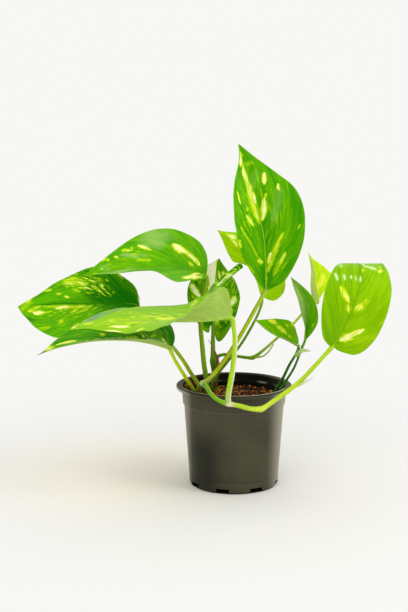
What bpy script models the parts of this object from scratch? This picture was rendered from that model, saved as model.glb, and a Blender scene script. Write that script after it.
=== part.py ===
"""Potted pothos in a 4 inch nursery pot: pot, potting mix, vines, leaf stalks and eleven leaves.

Metres, +Z up. The origin is the middle of the pot's underside. The front of the plant faces -Y.
Routes and sizes are written in millimetres and turned into metres where a mesh is made.
"""
import math
import random

import bmesh
import bpy
import numpy as np
from mathutils import Vector

for old in list(bpy.data.objects):
    bpy.data.objects.remove(old)

MM = 0.001
GAP = 0.3                      # clearance between touching pieces
HOLE_GAP = 0.45                # clearance round a stem in its hole

# ---- Pot: 4 x 3.5 x 3 inch nursery pot
POT_HEIGHT = 89.0
LIP_RADIUS = 51.0
LIP_HEIGHT = 3.0
NECK_RADIUS = 46.0             # outside, just under the lip
BAND_HEIGHT = 14.5             # plain band between the lip and the shoulder line
SHOULDER_RADIUS = 44.0         # outside, just under the shoulder line
FOOT_RADIUS = 39.4
FOOT_HEIGHT = 9.0              # plain foot band, below a small step
FOOT_STEP = 0.3
WALL = 1.1
FLOOR_UNDER = 3.6
FLOOR_TOP = 5.0
PAD_RADIUS = 9.0               # moulded pad in the middle of the underside
POT_SEGMENTS = 64
UNDER_LIP = POT_HEIGHT - LIP_HEIGHT
SHOULDER = UNDER_LIP - BAND_HEIGHT
NOTCHES = 8
NOTCH_WIDTH = 12.0
NOTCH_HEIGHT = 4.2
NOTCH_START = math.radians(-106)
DRAIN_RADIUS = 3.5
DRAIN_CIRCLE = 27.0

# ---- Potting mix
MIX_LEVEL = 78.0
MOUND = (-34.0, 0.0, 6.0, 15.0)     # x, y, height and spread of the heap round the vines
MIX_RINGS = 9
MIX_SECTORS = 40
MIX_CROWDING = 0.85            # under 1, the rings are wider apart at the middle
MIX_LUMP = 0.9                 # how far a lump stands up or sinks
ROOT_DEPTH = 56.0              # height of a stem's lower end

# ---- Leaves
BLADE = 0.7                    # thickness
ROWS = 13                      # strips from the sinus to the tip
COLUMNS = 5                    # strips from the midrib to each margin
FOOT_CROWDING = 1.6            # over 1, the veins' feet crowd towards the base
LOBE = 0.06                    # share of length behind the base from where a lobe's veins fully arch

# Margins, as share of midrib length and share of half width
PLAIN = [(0.01, 0.3), (0.02, 0.55), (0.07, 0.8), (0.16, 0.96), (0.28, 1.0), (0.45, 0.9), (0.62, 0.66),
         (0.78, 0.38), (0.91, 0.13)]

# Each leaf: its midrib from base to tip; the way its upper face looks, from base to tip; the widths
# of its left and right halves; their margins; and how they bend: (share of length, left lift,
# right lift, left curl, right curl) in degrees, lift at the midrib and curl across the half. seat
# is how far from the blade's base its stalk ends; arched is for veins that run back into long lobes.
LEAVES = {
    "leaf_a": dict(
        rib=[(26.8, -18, 175.6), (26, -22, 200), (24, -24, 223.7), (18.8, -24, 243), (11.6, -20, 263.3),
             (2.7, -8, 300.2)],
        face=[(0, -1, 0.05), (0, -1, 0.1), (-0.1, -1, 0.3)],
        half=(28, 40),
        margin=([(0.01, 0.11), (0.045, 0.23), (0.115, 0.45), (0.195, 0.69), (0.28, 0.86), (0.39, 0.93),
                 (0.525, 0.86), (0.645, 0.64), (0.76, 0.4), (0.89, 0.1)],
                [(0.005, 0.07), (0.03, 0.21), (0.075, 0.42), (0.14, 0.57), (0.215, 0.71), (0.315, 0.85),
                 (0.395, 0.93), (0.46, 0.98), (0.53, 0.98), (0.6, 0.91), (0.69, 0.76), (0.795, 0.51),
                 (0.895, 0.25)]),
        bend=[(0, 34, 26, 0, 0), (0.5, 30, 22, 0, -10), (1, 25, 15, 0, -20)],
        seat=0.6),
    "leaf_b": dict(
        rib=[(24.5, 0, 167), (24, 6, 181), (17.5, 10, 198), (6, 13, 211), (-15, 14, 224)],
        face=[(0.2, -1, 0.1), (0.1, -1, 0.1), (0, -0.9, 0.3)],
        half=(20, 24),
        margin=([(0.04, 0.16), (0.13, 0.3), (0.25, 0.42), (0.36, 0.52), (0.46, 0.66), (0.55, 0.77),
                 (0.64, 0.78), (0.74, 0.66), (0.81, 0.5), (0.885, 0.28), (0.96, 0.08)],
                [(-0.04, 0.25), (-0.04, 0.48), (0.01, 0.68), (0.1, 0.83), (0.25, 0.93), (0.45, 0.88),
                 (0.62, 0.66), (0.78, 0.38), (0.91, 0.13)]),
        bend=[(0, 5, 5, 0, 0), (0.5, 0, -20, 0, -20), (1, 0, -30, 0, -20)],
        seat=1.0),
    "leaf_c": dict(
        rib=[(-24.5, -12, 187.3), (-36, -13, 192), (-56, -16, 196), (-83, -20, 195.5), (-108, -24, 192.5),
             (-127.5, -28, 189.5)],
        face=[(0, -0.45, 0.89), (0, -0.45, 0.89)],
        half=(30, 40),
        margin=([(0.0, 0.11), (0.04, 0.37), (0.12, 0.67), (0.21, 0.93), (0.3, 1.05), (0.4, 1.0),
                 (0.52, 0.85), (0.68, 0.6), (0.84, 0.3), (0.93, 0.12)],
                [(0.015, 0.25), (0.045, 0.46), (0.075, 0.63), (0.11, 0.8), (0.165, 0.91), (0.22, 0.97),
                 (0.295, 1.01), (0.355, 1.0), (0.445, 0.94), (0.56, 0.82), (0.67, 0.63), (0.795, 0.39),
                 (0.9, 0.21)]),
        bend=[(0, 12, 20, 0, 0), (0.25, 10, 20, 0, 0), (0.5, 26, 20, 0, 0), (1, 24, 20, 0, 0)],
        seat=1.1),
    "leaf_d": dict(
        rib=[(-83, 6, 159), (-105, 5, 160), (-133, 6, 160), (-160, 10, 159), (-191.5, 14, 155.8)],
        face=[(0, -0.85, 0.53), (0, -0.85, 0.53)],
        half=(36, 34),
        margin=([(0.0, 0.3), (0.03, 0.6), (0.1, 0.85), (0.25, 1.0), (0.42, 1.02), (0.55, 1.01), (0.635, 0.99),
                 (0.68, 0.95), (0.77, 0.81), (0.85, 0.62), (0.905, 0.41), (0.957, 0.22)],
                [(0.025, 0.21), (0.035, 0.35), (0.065, 0.52), (0.11, 0.66), (0.17, 0.79), (0.25, 0.92),
                 (0.34, 0.98), (0.44, 0.93), (0.545, 0.8), (0.625, 0.67), (0.7, 0.54), (0.77, 0.39),
                 (0.845, 0.25), (0.925, 0.13)]),
        bend=[(0, 14, 14, 0, 0), (1, 10, 10, 0, 0)],
        seat=1.8),
    "leaf_e": dict(
        rib=[(-4, -62, 160), (-30, -65, 157.5), (-62, -70, 158), (-100, -79, 160), (-120, -84, 158),
             (-131, -88, 154)],
        face=[(0, 0, 1), (0, 0, 1)],
        half=(37, 40),
        margin=([(0.0, 0.3), (0.008, 0.6), (0.02, 0.86), (0.035, 0.98), (0.06, 1.04), (0.1, 1.09),
                 (0.16, 1.09), (0.24, 1.06), (0.34, 1.0), (0.5, 0.9), (0.64, 0.77), (0.78, 0.54),
                 (0.9, 0.27)],
                [(-0.03, 0.2), (-0.07, 0.5), (-0.1, 0.85), (-0.135, 1.12), (-0.12, 1.27), (-0.04, 1.17),
                 (0.1, 1.05), (0.22, 1.02), (0.42, 0.95), (0.58, 0.8), (0.74, 0.55), (0.88, 0.26)]),
        bend=[(-0.12, 54, 49, 0, 0), (-0.03, 54, 44, 0, 0), (0.04, 52, 35, 0, 0), (0.14, 41, 20, 0, 0),
              (0.26, 27, 11, 0, 0), (0.36, 13, 9, 0, 0), (0.46, 4, 9, 0, 0), (0.58, -6, 10, 0, 0),
              (0.72, -17, 14, 0, 0), (0.86, -19, 16, 0, 0), (1, -14, 14, 0, 0)],
        seat=0.8),
    "leaf_f": dict(
        rib=[(-56, -40, 129.5), (-72, -43, 134.7), (-92, -47, 138), (-120, -51, 137.8), (-148, -55, 133),
             (-166, -58, 126.5)],
        face=[(0, -0.3, 0.95), (0, -0.3, 0.95)],
        half=(32, 36),
        margin=([(-0.02, 0.2), (-0.03, 0.4), (0.0, 0.68), (0.1, 0.92), (0.28, 1.0), (0.45, 0.9),
                 (0.62, 0.66), (0.78, 0.36), (0.9, 0.11), (0.95, 0.04)],
                [(-0.03, 0.13), (-0.04, 0.37), (-0.025, 0.61), (0.0, 0.77), (0.06, 0.92), (0.16, 1.02),
                 (0.3, 1.0), (0.45, 0.9), (0.62, 0.68), (0.78, 0.4), (0.89, 0.14), (0.95, 0.04)]),
        bend=[(0, 30, 16, 0, 0), (0.5, 28.5, 14, 0, 0), (1, 27, 12, 0, 0)],
        seat=1.0),
    "leaf_g": dict(
        rib=[(-18, 12, 141), (-18, 13, 158), (-16.5, 15, 178), (-13, 18, 198.5)],
        face=[(0, -1, 0.1), (0, -1, 0.2), (0, -1, 0.3)],
        half=(23, 22),
        margin=([(-0.05, 0.13), (-0.14, 0.2), (-0.08, 0.45), (0.08, 0.74), (0.28, 0.98), (0.48, 1.05),
                 (0.66, 0.9), (0.82, 0.5), (0.93, 0.2)],
                [(-0.07, 0.13), (-0.18, 0.16), (-0.26, 0.21), (-0.26, 0.31), (-0.2, 0.46), (-0.12, 0.6),
                 (0.02, 0.8), (0.16, 0.95), (0.34, 1.05), (0.45, 1.06), (0.6, 0.93), (0.72, 0.75),
                 (0.84, 0.42), (0.93, 0.17)]),
        bend=[(0, 12, 12, 0, 0), (1, 10, 10, 0, 0)],
        seat=4.4, arched=True),
    "leaf_h": dict(
        rib=[(56.5, -2, 124), (48, -5, 129), (32, -8, 137), (18, -10, 148)],
        face=[(0, -0.6, 0.8), (0, -0.6, 0.8)],
        half=(15, 18.5),
        margin=(PLAIN,
                [(0.02, 0.2), (0.075, 0.47), (0.165, 0.74), (0.28, 0.93), (0.44, 0.92), (0.66, 0.69),
                 (0.85, 0.34), (0.94, 0.12)]),
        bend=[(0, 45, 20, 0, 0), (1, 42, 20, 0, 0)],
        seat=0.9),
    "leaf_i": dict(
        rib=[(63, 2, 128), (63.5, 0, 148), (60, 0, 166), (49.5, 4, 184)],
        face=[(0.3, -0.9, 0), (0.3, -0.9, 0), (0.2, -0.9, 0.2)],
        half=(13, 11.5),
        margin=(PLAIN,
                [(0.06, 0.25), (0.17, 0.6), (0.29, 0.86), (0.4, 0.91), (0.52, 0.8), (0.66, 0.6),
                 (0.84, 0.3), (0.93, 0.12)]),
        bend=[(0, 62, 20, 0, 0), (1, 52, 20, 0, 0)],
        seat=0.7),
    "leaf_j": dict(
        rib=[(72.5, 28, 156), (70, 28, 172), (70, 30, 188), (67, 36, 202.5)],
        face=[(0.5, -0.8, 0), (0.5, -0.8, 0.1), (0.5, -0.8, 0.2)],
        half=(20, 24),
        margin=(PLAIN,
                [(0.01, 0.3), (0.02, 0.55), (0.07, 0.8), (0.2, 0.98), (0.36, 1.02), (0.52, 0.88),
                 (0.64, 0.64), (0.74, 0.38), (0.82, 0.17), (0.91, 0.05)]),
        bend=[(0, 70, 10, 0, 0), (1, 60, 10, 0, 0)],
        seat=0.7),
    "leaf_k": dict(
        rib=[(82, -50, 132.5), (89, -54, 146), (97, -57, 165), (102.5, -56, 182), (107, -49, 195.5),
             (110, -38, 200.5), (113, -24, 198), (116, -8, 186)],
        face=[(0.1, -1, 0), (0, -1, 0.1), (-0.12, -0.8, 0.6), (-0.16, 0.6, 0.8)],
        half=(28, 28),
        margin=([(-0.01, 0.08), (0.01, 0.28), (0.035, 0.44), (0.08, 0.59), (0.14, 0.73), (0.225, 0.88),
                 (0.31, 0.97), (0.4, 0.99), (0.51, 0.94), (0.59, 0.87), (0.68, 0.74), (0.82, 0.42),
                 (0.93, 0.14)],
                [(-0.01, 0.16), (0.0, 0.42), (0.02, 0.67), (0.065, 0.83), (0.125, 0.94), (0.205, 1.0),
                 (0.34, 1.0), (0.42, 0.98), (0.5, 0.94), (0.57, 0.85), (0.71, 0.57), (0.83, 0.36),
                 (0.93, 0.13)]),
        bend=[(0, 12, 10, 0, -8), (0.35, 10, 8, 0, -8), (0.6, 0, -4, 0, -8), (1, 0, 0, 0, -10)],
        seat=1.5),
}

# ---- Stems: each route's points are (x, y, z, radius). A stalk's route ends at its leaf's base.
# The first route of a plant piece is the one that stands in the mix.
STEMS = {
    "vine_front": [
        [(-34, -9, ROOT_DEPTH, 2.6), (-32.5, -13, 78, 2.8), (-31, -20, 89, 2.8), (-27.5, -30, 96, 2.9),
         (-23.5, -45, 95, 2.7), (-19.8, -54, 91.5, 2.6), (-13, -57, 87, 2.7), (-6.3, -57, 84.9, 2.8),
         (3.8, -58, 82.5, 2.6), (12, -58, 80, 2.6), (21.5, -58, 79.3, 2.7), (32.3, -58, 87, 2.5),
         (45, -57, 96.5, 2.4), (56, -55, 105.5, 2.2), (66, -54, 116, 2.1), (74.5, -52, 125, 2.0), "leaf_k"],
        [(-6.3, -57, 84.9, 2.4), (-6, -58, 93.5, 2.4), (-4, -60, 106, 2.3), (-2.3, -61, 118, 2.2),
         (-1.2, -62, 130, 2.1), (-0.8, -62, 142, 2.0), (-2, -62, 152.5, 1.9), "leaf_e"],
        [(-27.5, -30, 96, 2.2), (-21.3, -28, 100.5, 2.1), (-14.4, -25, 108, 2.0), (-7.5, -23, 117, 1.9),
         (-1.4, -21, 126, 1.9), (4.6, -20, 135.5, 1.8), (13.3, -19, 151, 1.8), (19.3, -18, 162, 1.7),
         "leaf_a"],
    ],
    "vine_middle": [
        [(-16.5, 8, ROOT_DEPTH, 2.5), (-16.7, 8, 80, 2.6), (-17.3, 8, 94, 2.5), (-18.5, 8, 108, 2.6),
         (-18.5, 9, 118, 2.3), (-18.6, 10.5, 126, 2.1), (-18.4, 11.4, 132, 1.9), "leaf_g"],
        [(-18.5, 8, 107, 2.0), (-14, 9, 112, 1.8), (-8, 10, 113.5, 1.6), (0, 12, 112, 1.6),
         (11, 14, 110, 1.6), (17.7, 16, 109.7, 1.9), (25.3, 17, 115, 1.5), (32.5, 18, 121, 1.4),
         (38.7, 19, 126.5, 1.4), (46, 21, 132.5, 1.3), (54, 23, 139.5, 1.3), (62, 25, 148, 1.3),
         (69.5, 27, 153.5, 1.2), "leaf_j"],
        [(17.7, 16, 109.7, 1.2), (25.2, 14, 110.8, 0.8), (29.6, 13.5, 114, 0.8), (33, 13, 118.5, 0.7),
         (35.7, 13, 123, 0.6)],
    ],
    "petiole_b": [
        [(-22, -5, ROOT_DEPTH, 1.7), (-21, -7, 84, 1.7), (-14.2, -8, 99.5, 1.6), (-5.5, -7, 111, 1.6),
         (3.3, -5, 122, 1.5), (9.4, -4, 131, 1.5), (14.6, -3, 140, 1.5), (20.3, -2, 151, 1.4),
         (23.6, -1, 160, 1.4), "leaf_b"],
    ],
    "petiole_c": [
        [(-24, -13, ROOT_DEPTH, 2.3), (-24, -12, 80, 2.4), (-24.8, -12, 96, 2.3), (-26.7, -13, 110, 2.2),
         (-28.2, -14, 126.5, 2.1), (-29.4, -14, 140, 2.0), (-29.4, -14, 151, 2.0), (-27.4, -13, 166, 1.9),
         (-25.2, -12, 177, 1.8), "leaf_c"],
    ],
    "petiole_d": [
        [(-27, 3, ROOT_DEPTH, 2.0), (-28.5, 1, 80, 2.0), (-32.7, -1, 91, 2.0), (-37.9, -2, 99, 2.0),
         (-44, -1, 109, 2.0), (-51, 0, 118.5, 1.9), (-61.7, 2, 131.5, 1.8), (-72.2, 4, 144, 1.7), "leaf_d"],
    ],
    "petiole_f": [
        [(-34.5, -2, ROOT_DEPTH, 1.9), (-34.8, -5, 79, 1.9), (-37, -10, 88, 1.9), (-40.9, -16, 95.5, 1.8),
         (-45.5, -24, 105, 1.8), (-51.3, -33, 117, 1.7), "leaf_f"],
    ],
    "stem_right": [
        [(33, 1, ROOT_DEPTH, 1.9), (36, 0.5, 80, 1.9), (40.6, 0, 89.5, 1.8), (44.5, -1, 97.5, 1.7),
         (48.3, -1.5, 106, 1.6), (52.3, -2, 113, 1.5), (55.6, -2, 118.5, 1.5), "leaf_h"],
        [(35.5, -6, ROOT_DEPTH, 1.7), (39.5, -3.5, 80, 1.7), (45.8, -2, 92, 1.6), (49.6, -1.2, 98, 1.5),
         (53, -0.5, 104, 1.5), (55.7, 0, 110.5, 1.4), (57.5, 0, 116, 1.5), (59.6, 1, 121, 1.4), "leaf_i"],
        [(57, -0.5, 119, 1.0), (62, -1, 119.5, 0.8), (67, -1.5, 119, 0.5)],
    ],
    "dry_sheath": [
        [(-16.4, 4.6, 88, 0.6), (-15.2, 4.3, 97, 0.9), (-14.4, 3, 105, 0.9), (-15.5, 2, 112, 0.9),
         (-18, 1.5, 118.5, 0.8), (-20.3, 1.5, 123, 0.8), (-23.4, 1.5, 128.5, 0.5)],
    ],
}
STEM_SIDES = 8
STEM_STEP = 5.5                # length of one ring of a stem
IN_MIX = {"vine_front": 1, "vine_middle": 1, "petiole_b": 1, "petiole_c": 1, "petiole_d": 1, "petiole_f": 1,
          "stem_right": 2}     # how many routes of each piece stand in the mix
# Swollen rings where stalks leave a vine: (x, y, z, radius)
NODES = {
    "vine_front": [(-27.5, -30, 96, 3.7), (-6.3, -57, 84.9, 3.7), (21.5, -58, 79.3, 3.4)],
    "vine_middle": [(-18.5, 8, 108, 3.3), (17.7, 16, 109.7, 2.5)],
    "stem_right": [(56.4, -1, 118, 2.4)],
}

# name: (red, green, blue), roughness
COLOURS = {
    "pot": ((0.045, 0.043, 0.034), 0.45),
    "soil": ((0.16, 0.055, 0.02), 0.95),
    "vine_front": ((0.32, 0.52, 0.10), 0.4),
    "vine_middle": ((0.10, 0.28, 0.03), 0.4),
    "petiole_b": ((0.10, 0.28, 0.03), 0.4),
    "petiole_c": ((0.12, 0.30, 0.03), 0.4),
    "petiole_d": ((0.14, 0.30, 0.03), 0.4),
    "petiole_f": ((0.30, 0.48, 0.04), 0.4),
    "stem_right": ((0.06, 0.24, 0.03), 0.4),
    "dry_sheath": ((0.14, 0.05, 0.02), 0.8),
    "leaf_a": ((0.07, 0.36, 0.005), 0.3),
    "leaf_b": ((0.28, 0.56, 0.02), 0.35),
    "leaf_c": ((0.12, 0.42, 0.01), 0.3),
    "leaf_d": ((0.03, 0.26, 0.01), 0.3),
    "leaf_e": ((0.22, 0.50, 0.03), 0.3),
    "leaf_f": ((0.06, 0.30, 0.01), 0.3),
    "leaf_g": ((0.05, 0.22, 0.02), 0.35),
    "leaf_h": ((0.12, 0.38, 0.01), 0.3),
    "leaf_i": ((0.05, 0.28, 0.02), 0.3),
    "leaf_j": ((0.42, 0.66, 0.03), 0.35),
    "leaf_k": ((0.17, 0.50, 0.005), 0.3),
}


def material(name):
    colour, roughness = COLOURS[name]
    finish = bpy.data.materials.new(name)
    finish.use_nodes = True
    shader = finish.node_tree.nodes["Principled BSDF"]
    shader.inputs["Base Color"].default_value = (*colour, 1)
    shader.inputs["Roughness"].default_value = roughness
    shader.inputs["Metallic"].default_value = 0
    return finish


def solid(name, points, faces, smooth_degrees=None):
    """An object from points in millimetres and faces that look outward."""
    mesh = bpy.data.meshes.new(name)
    mesh.from_pydata([(x * MM, y * MM, z * MM) for x, y, z in points], [], faces)
    mesh.update()
    if smooth_degrees:
        mesh.shade_smooth()
        mesh.set_sharp_from_angle(angle=math.radians(smooth_degrees))
    thing = bpy.data.objects.new(name, mesh)
    bpy.context.scene.collection.objects.link(thing)
    return thing


def cutter(thing):
    thing.hide_render = True
    thing.display_type = 'WIRE'
    return thing


def cut(thing, tool):
    boolean = thing.modifiers.new("Cut", 'BOOLEAN')
    boolean.operation = 'DIFFERENCE'
    boolean.solver = 'EXACT'
    boolean.object = tool


def fuse(name, pieces):
    """One body from overlapping pieces, which are then removed."""
    if len(pieces) == 1:
        return pieces[0]
    group = bpy.data.collections.new(name + "_pieces")
    bpy.context.scene.collection.children.link(group)
    for piece in pieces[1:]:
        bpy.context.scene.collection.objects.unlink(piece)
        group.objects.link(piece)
    boolean = pieces[0].modifiers.new("Fuse", 'BOOLEAN')
    boolean.operation = 'UNION'
    boolean.solver = 'MANIFOLD'
    boolean.operand_type = 'COLLECTION'
    boolean.collection = group
    bpy.context.view_layer.update()
    ready = pieces[0].evaluated_get(bpy.context.evaluated_depsgraph_get())
    fused = bpy.data.meshes.new_from_object(ready)
    pieces[0].modifiers.clear()
    pieces[0].data = fused
    for piece in pieces[1:]:
        bpy.data.objects.remove(piece)
    bpy.data.collections.remove(group)
    return pieces[0]


# ---- Curves

def unit(v):
    return v / np.linalg.norm(v)


def spline(points, t):
    """Point at t, 0 to 1, on a Catmull-Rom curve through points."""
    p = np.asarray(points, float)
    last = len(p) - 1
    s = min(max(t, 0.0), 1.0) * last
    i = min(int(s), last - 1)
    f = s - i
    before = p[i - 1] if i > 0 else 2 * p[0] - p[1]
    after = p[i + 2] if i + 2 <= last else 2 * p[last] - p[last - 1]
    start, end = p[i], p[i + 1]
    return 0.5 * (2 * start + (end - before) * f
                  + (2 * before - 5 * start + 4 * end - after) * f ** 2
                  + (3 * start - before - 3 * end + after) * f ** 3)


class Curve:
    """A smooth curve through points, read by its share of length."""

    def __init__(self, points, steps=96):
        self.points = np.array([spline(points, i / steps) for i in range(steps + 1)])
        runs = np.linalg.norm(np.diff(self.points[:, :3], axis=0), axis=1)
        self.run = np.concatenate([[0.0], np.cumsum(runs)])
        self.length = self.run[-1]

    def at(self, share):
        """Past either end, the curve goes straight on."""
        distance = share * self.length
        if share < 0:
            return self.points[0] + unit(self.points[1] - self.points[0]) * distance
        if share > 1:
            return self.points[-1] + unit(self.points[-1] - self.points[-2]) * (distance - self.length)
        return np.array([np.interp(distance, self.run, column) for column in self.points.T])

    def way(self, share):
        share = min(max(share, 0.0), 1.0)
        return unit((self.at(min(share + 0.02, 1)) - self.at(max(share - 0.02, 0)))[:3])


# ---- Pot

def turned(name, profile, segments):
    """A closed solid turned round Z; the profile runs down the outside and up the inside."""
    points = []
    rings = []
    for radius, height in profile:
        if radius == 0:
            rings.append([len(points)] * segments)
            points.append((0, 0, height))
            continue
        rings.append(list(range(len(points), len(points) + segments)))
        for k in range(segments):
            angle = 2 * math.pi * k / segments
            points.append((radius * math.cos(angle), radius * math.sin(angle), height))
    faces = []
    for upper, lower in zip(rings, rings[1:] + rings[:1]):
        for k in range(segments):
            n = (k + 1) % segments
            corners = [upper[k], lower[k], lower[n], upper[n]]
            face = [c for i, c in enumerate(corners) if c not in corners[:i]]
            if len(face) > 2:
                faces.append(face)
    return solid(name, points, faces, 35)


def pot_wall(height):
    """Outer radius of the tapered wall below the band."""
    low = FOOT_RADIUS + FOOT_STEP
    share = (height - FOOT_HEIGHT) / (SHOULDER - FOOT_HEIGHT)
    return low + (SHOULDER_RADIUS - low) * share


def make_pot():
    profile = [
        (LIP_RADIUS - 0.8, POT_HEIGHT),
        (LIP_RADIUS, POT_HEIGHT - 0.9),
        (LIP_RADIUS - 0.1, UNDER_LIP),
        (LIP_RADIUS - 1.3, UNDER_LIP),
        (LIP_RADIUS - 1.6, UNDER_LIP + 1.0),
        (NECK_RADIUS + 0.5, UNDER_LIP + 0.8),
        (NECK_RADIUS, UNDER_LIP - 0.4),
        (NECK_RADIUS - 0.9, SHOULDER + 1.2),
        (SHOULDER_RADIUS, SHOULDER),
        (pot_wall(FOOT_HEIGHT + 1.2), FOOT_HEIGHT + 1.2),
        (pot_wall(FOOT_HEIGHT) - 0.5, FOOT_HEIGHT + 0.4),
        (FOOT_RADIUS + 0.2, FOOT_HEIGHT - 0.6),
        (FOOT_RADIUS, 2.4),
        (FOOT_RADIUS - 0.5, 0.8),
        (FOOT_RADIUS - 1.5, 0.0),
        (FOOT_RADIUS - 3.0, 0.0),
        (FOOT_RADIUS - 3.4, FLOOR_UNDER),
        (PAD_RADIUS + 0.6, FLOOR_UNDER),
        (PAD_RADIUS, 0.0),
        (0, 0.0),
        (0, FLOOR_TOP),
        (FOOT_RADIUS - 3.0, FLOOR_TOP),
        (pot_wall(FLOOR_TOP + 2.0) - WALL, FLOOR_TOP + 2.0),
        (SHOULDER_RADIUS - WALL, SHOULDER),
        (NECK_RADIUS - 2.3, UNDER_LIP - 3.6),
        (NECK_RADIUS - 1.3, UNDER_LIP - 3.2),
        (NECK_RADIUS - 0.9, UNDER_LIP + 1.4),
        (NECK_RADIUS + 0.4, POT_HEIGHT),
    ]
    pot = turned("pot", profile, POT_SEGMENTS)
    points = []
    faces = []
    for k in range(NOTCHES):
        angle = NOTCH_START + 2 * math.pi * k / NOTCHES
        block(points, faces, angle, FOOT_RADIUS - 5.0, FOOT_RADIUS + 3.0, NOTCH_WIDTH, -1.0, NOTCH_HEIGHT)
        drill(points, faces, angle + math.pi / NOTCHES, FLOOR_UNDER - 1.0, FLOOR_TOP + 1.0)
    cut(pot, cutter(solid("pot_cutter", points, faces)))
    return pot


def block(points, faces, angle, near, far, width, low, high):
    """Adds a box that lies along a spoke of the pot."""
    start = len(points)
    for z in (low, high):
        for r, side in ((near, -1), (far, -1), (far, 1), (near, 1)):
            aside = side * width / 2
            points.append((r * math.cos(angle) - aside * math.sin(angle),
                           r * math.sin(angle) + aside * math.cos(angle), z))
    for face in ((3, 2, 1, 0), (4, 5, 6, 7), (0, 1, 5, 4), (1, 2, 6, 5), (2, 3, 7, 6), (3, 0, 4, 7)):
        faces.append([start + c for c in face])


def drill(points, faces, angle, low, high, sides=12):
    """Adds an upright rod that drills a drain hole in the floor."""
    start = len(points)
    for z in (low, high):
        for k in range(sides):
            turn = 2 * math.pi * k / sides
            points.append((DRAIN_CIRCLE * math.cos(angle) + DRAIN_RADIUS * math.cos(turn),
                           DRAIN_CIRCLE * math.sin(angle) + DRAIN_RADIUS * math.sin(turn), z))
    faces.append([start + k for k in reversed(range(sides))])
    faces.append([start + sides + k for k in range(sides)])
    for k in range(sides):
        n = (k + 1) % sides
        faces.append([start + k, start + n, start + sides + n, start + sides + k])


# ---- Potting mix

def make_mix():
    """Lumpy top on a plug that fits the pot; the stems' holes are cut into it."""
    lumps = random.Random(7)
    top = []
    for ring in range(1, MIX_RINGS + 1):
        share = (ring / MIX_RINGS) ** MIX_CROWDING
        for k in range(MIX_SECTORS):
            angle = 2 * math.pi * (k + 0.5 * (ring % 2)) / MIX_SECTORS
            radius = share * (NECK_RADIUS - 2.3 - GAP - 0.4)
            x, y = radius * math.cos(angle), radius * math.sin(angle)
            top.append((x, y, mix_height(x, y) + lumps.uniform(-MIX_LUMP, MIX_LUMP)))
    points = [(0, 0, mix_height(0, 0))] + top
    rim = len(points) - MIX_SECTORS
    low = FLOOR_TOP + 2.5
    clear = WALL + GAP + 0.2
    for radius, height in ((SHOULDER_RADIUS - clear, SHOULDER), (pot_wall(low) - clear, low),
                           (FOOT_RADIUS - 3.4, FLOOR_TOP + GAP)):
        for k in range(MIX_SECTORS):
            angle = 2 * math.pi * (k + 0.5 * (MIX_RINGS % 2)) / MIX_SECTORS
            points.append((radius * math.cos(angle), radius * math.sin(angle), height))
    points.append((0, 0, FLOOR_TOP + GAP))
    faces = []
    for k in range(MIX_SECTORS):
        n = (k + 1) % MIX_SECTORS
        faces.append([0, 1 + k, 1 + n])
        for ring in range(MIX_RINGS - 1):
            low, high = 1 + ring * MIX_SECTORS, 1 + (ring + 1) * MIX_SECTORS
            if ring % 2:
                faces += [[low + k, high + k, low + n], [low + n, high + k, high + n]]
            else:
                faces += [[low + k, high + k, high + n], [low + k, high + n, low + n]]
        for ring in range(3):
            low, high = rim + ring * MIX_SECTORS, rim + (ring + 1) * MIX_SECTORS
            faces += [[low + k, high + k, high + n], [low + k, high + n, low + n]]
        faces.append([rim + 3 * MIX_SECTORS + k, len(points) - 1, rim + 3 * MIX_SECTORS + n])
    mix = solid("soil", points, faces)
    for name, count in IN_MIX.items():
        for index in range(count):
            hole = tube(f"{name}_hole_{index}", route_points(STEMS[name][index])[:4], HOLE_GAP)
            cut(mix, cutter(hole))
    return mix


def mix_height(x, y):
    mx, my, height, spread = MOUND
    heap = height * math.exp(-((x - mx) ** 2 + (y - my) ** 2) / (2 * spread ** 2))
    return MIX_LEVEL + heap


# ---- Stems

def route_points(route):
    """The route's points, with a leaf's name turned into the place where its stalk ends."""
    points = [p for p in route if not isinstance(p, str)]
    if isinstance(route[-1], str):
        base = np.array(LEAVES[route[-1]]["rib"][0], float)
        last = np.array(points[-1][:3], float)
        end = base - unit(base - last) * LEAVES[route[-1]]["seat"]
        points.append((*end, points[-1][3] * 0.85))
    return points


def tube(name, points, grow=0.0):
    """A closed round stem along a smooth route; grow makes it wider and longer, as a hole's cutter."""
    route = Curve([list(p) for p in points])
    count = max(3, round(route.length / STEM_STEP))
    side = unit(np.cross(route.way(0), (0.0, 1.0, 0.0)))
    mesh_points = []
    for i in range(count + 1):
        share = i / count
        centre, radius, way = route.at(share)[:3], route.at(share)[3] + grow, route.way(share)
        if i == 0:
            centre = centre - way * grow
        side = unit(side - way * np.dot(side, way))
        other = np.cross(way, side)
        for k in range(STEM_SIDES):
            turn = 2 * math.pi * k / STEM_SIDES
            mesh_points.append(centre + radius * (side * math.cos(turn) + other * math.sin(turn)))
    faces = [[k for k in reversed(range(STEM_SIDES))],
             [count * STEM_SIDES + k for k in range(STEM_SIDES)]]
    for i in range(count):
        for k in range(STEM_SIDES):
            n = (k + 1) % STEM_SIDES
            low, high = i * STEM_SIDES, (i + 1) * STEM_SIDES
            faces.append([low + k, low + n, high + n, high + k])
    return solid(name, mesh_points, faces, 60)


def ball(name, x, y, z, radius):
    """A small swelling round a node of the vine."""
    mesh = bpy.data.meshes.new(name)
    shape = bmesh.new()
    bmesh.ops.create_icosphere(shape, subdivisions=2, radius=radius * MM)
    bmesh.ops.translate(shape, verts=shape.verts, vec=Vector((x, y, z)) * MM)
    shape.to_mesh(mesh)
    shape.free()
    thing = bpy.data.objects.new(name, mesh)
    bpy.context.scene.collection.objects.link(thing)
    return thing


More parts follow.
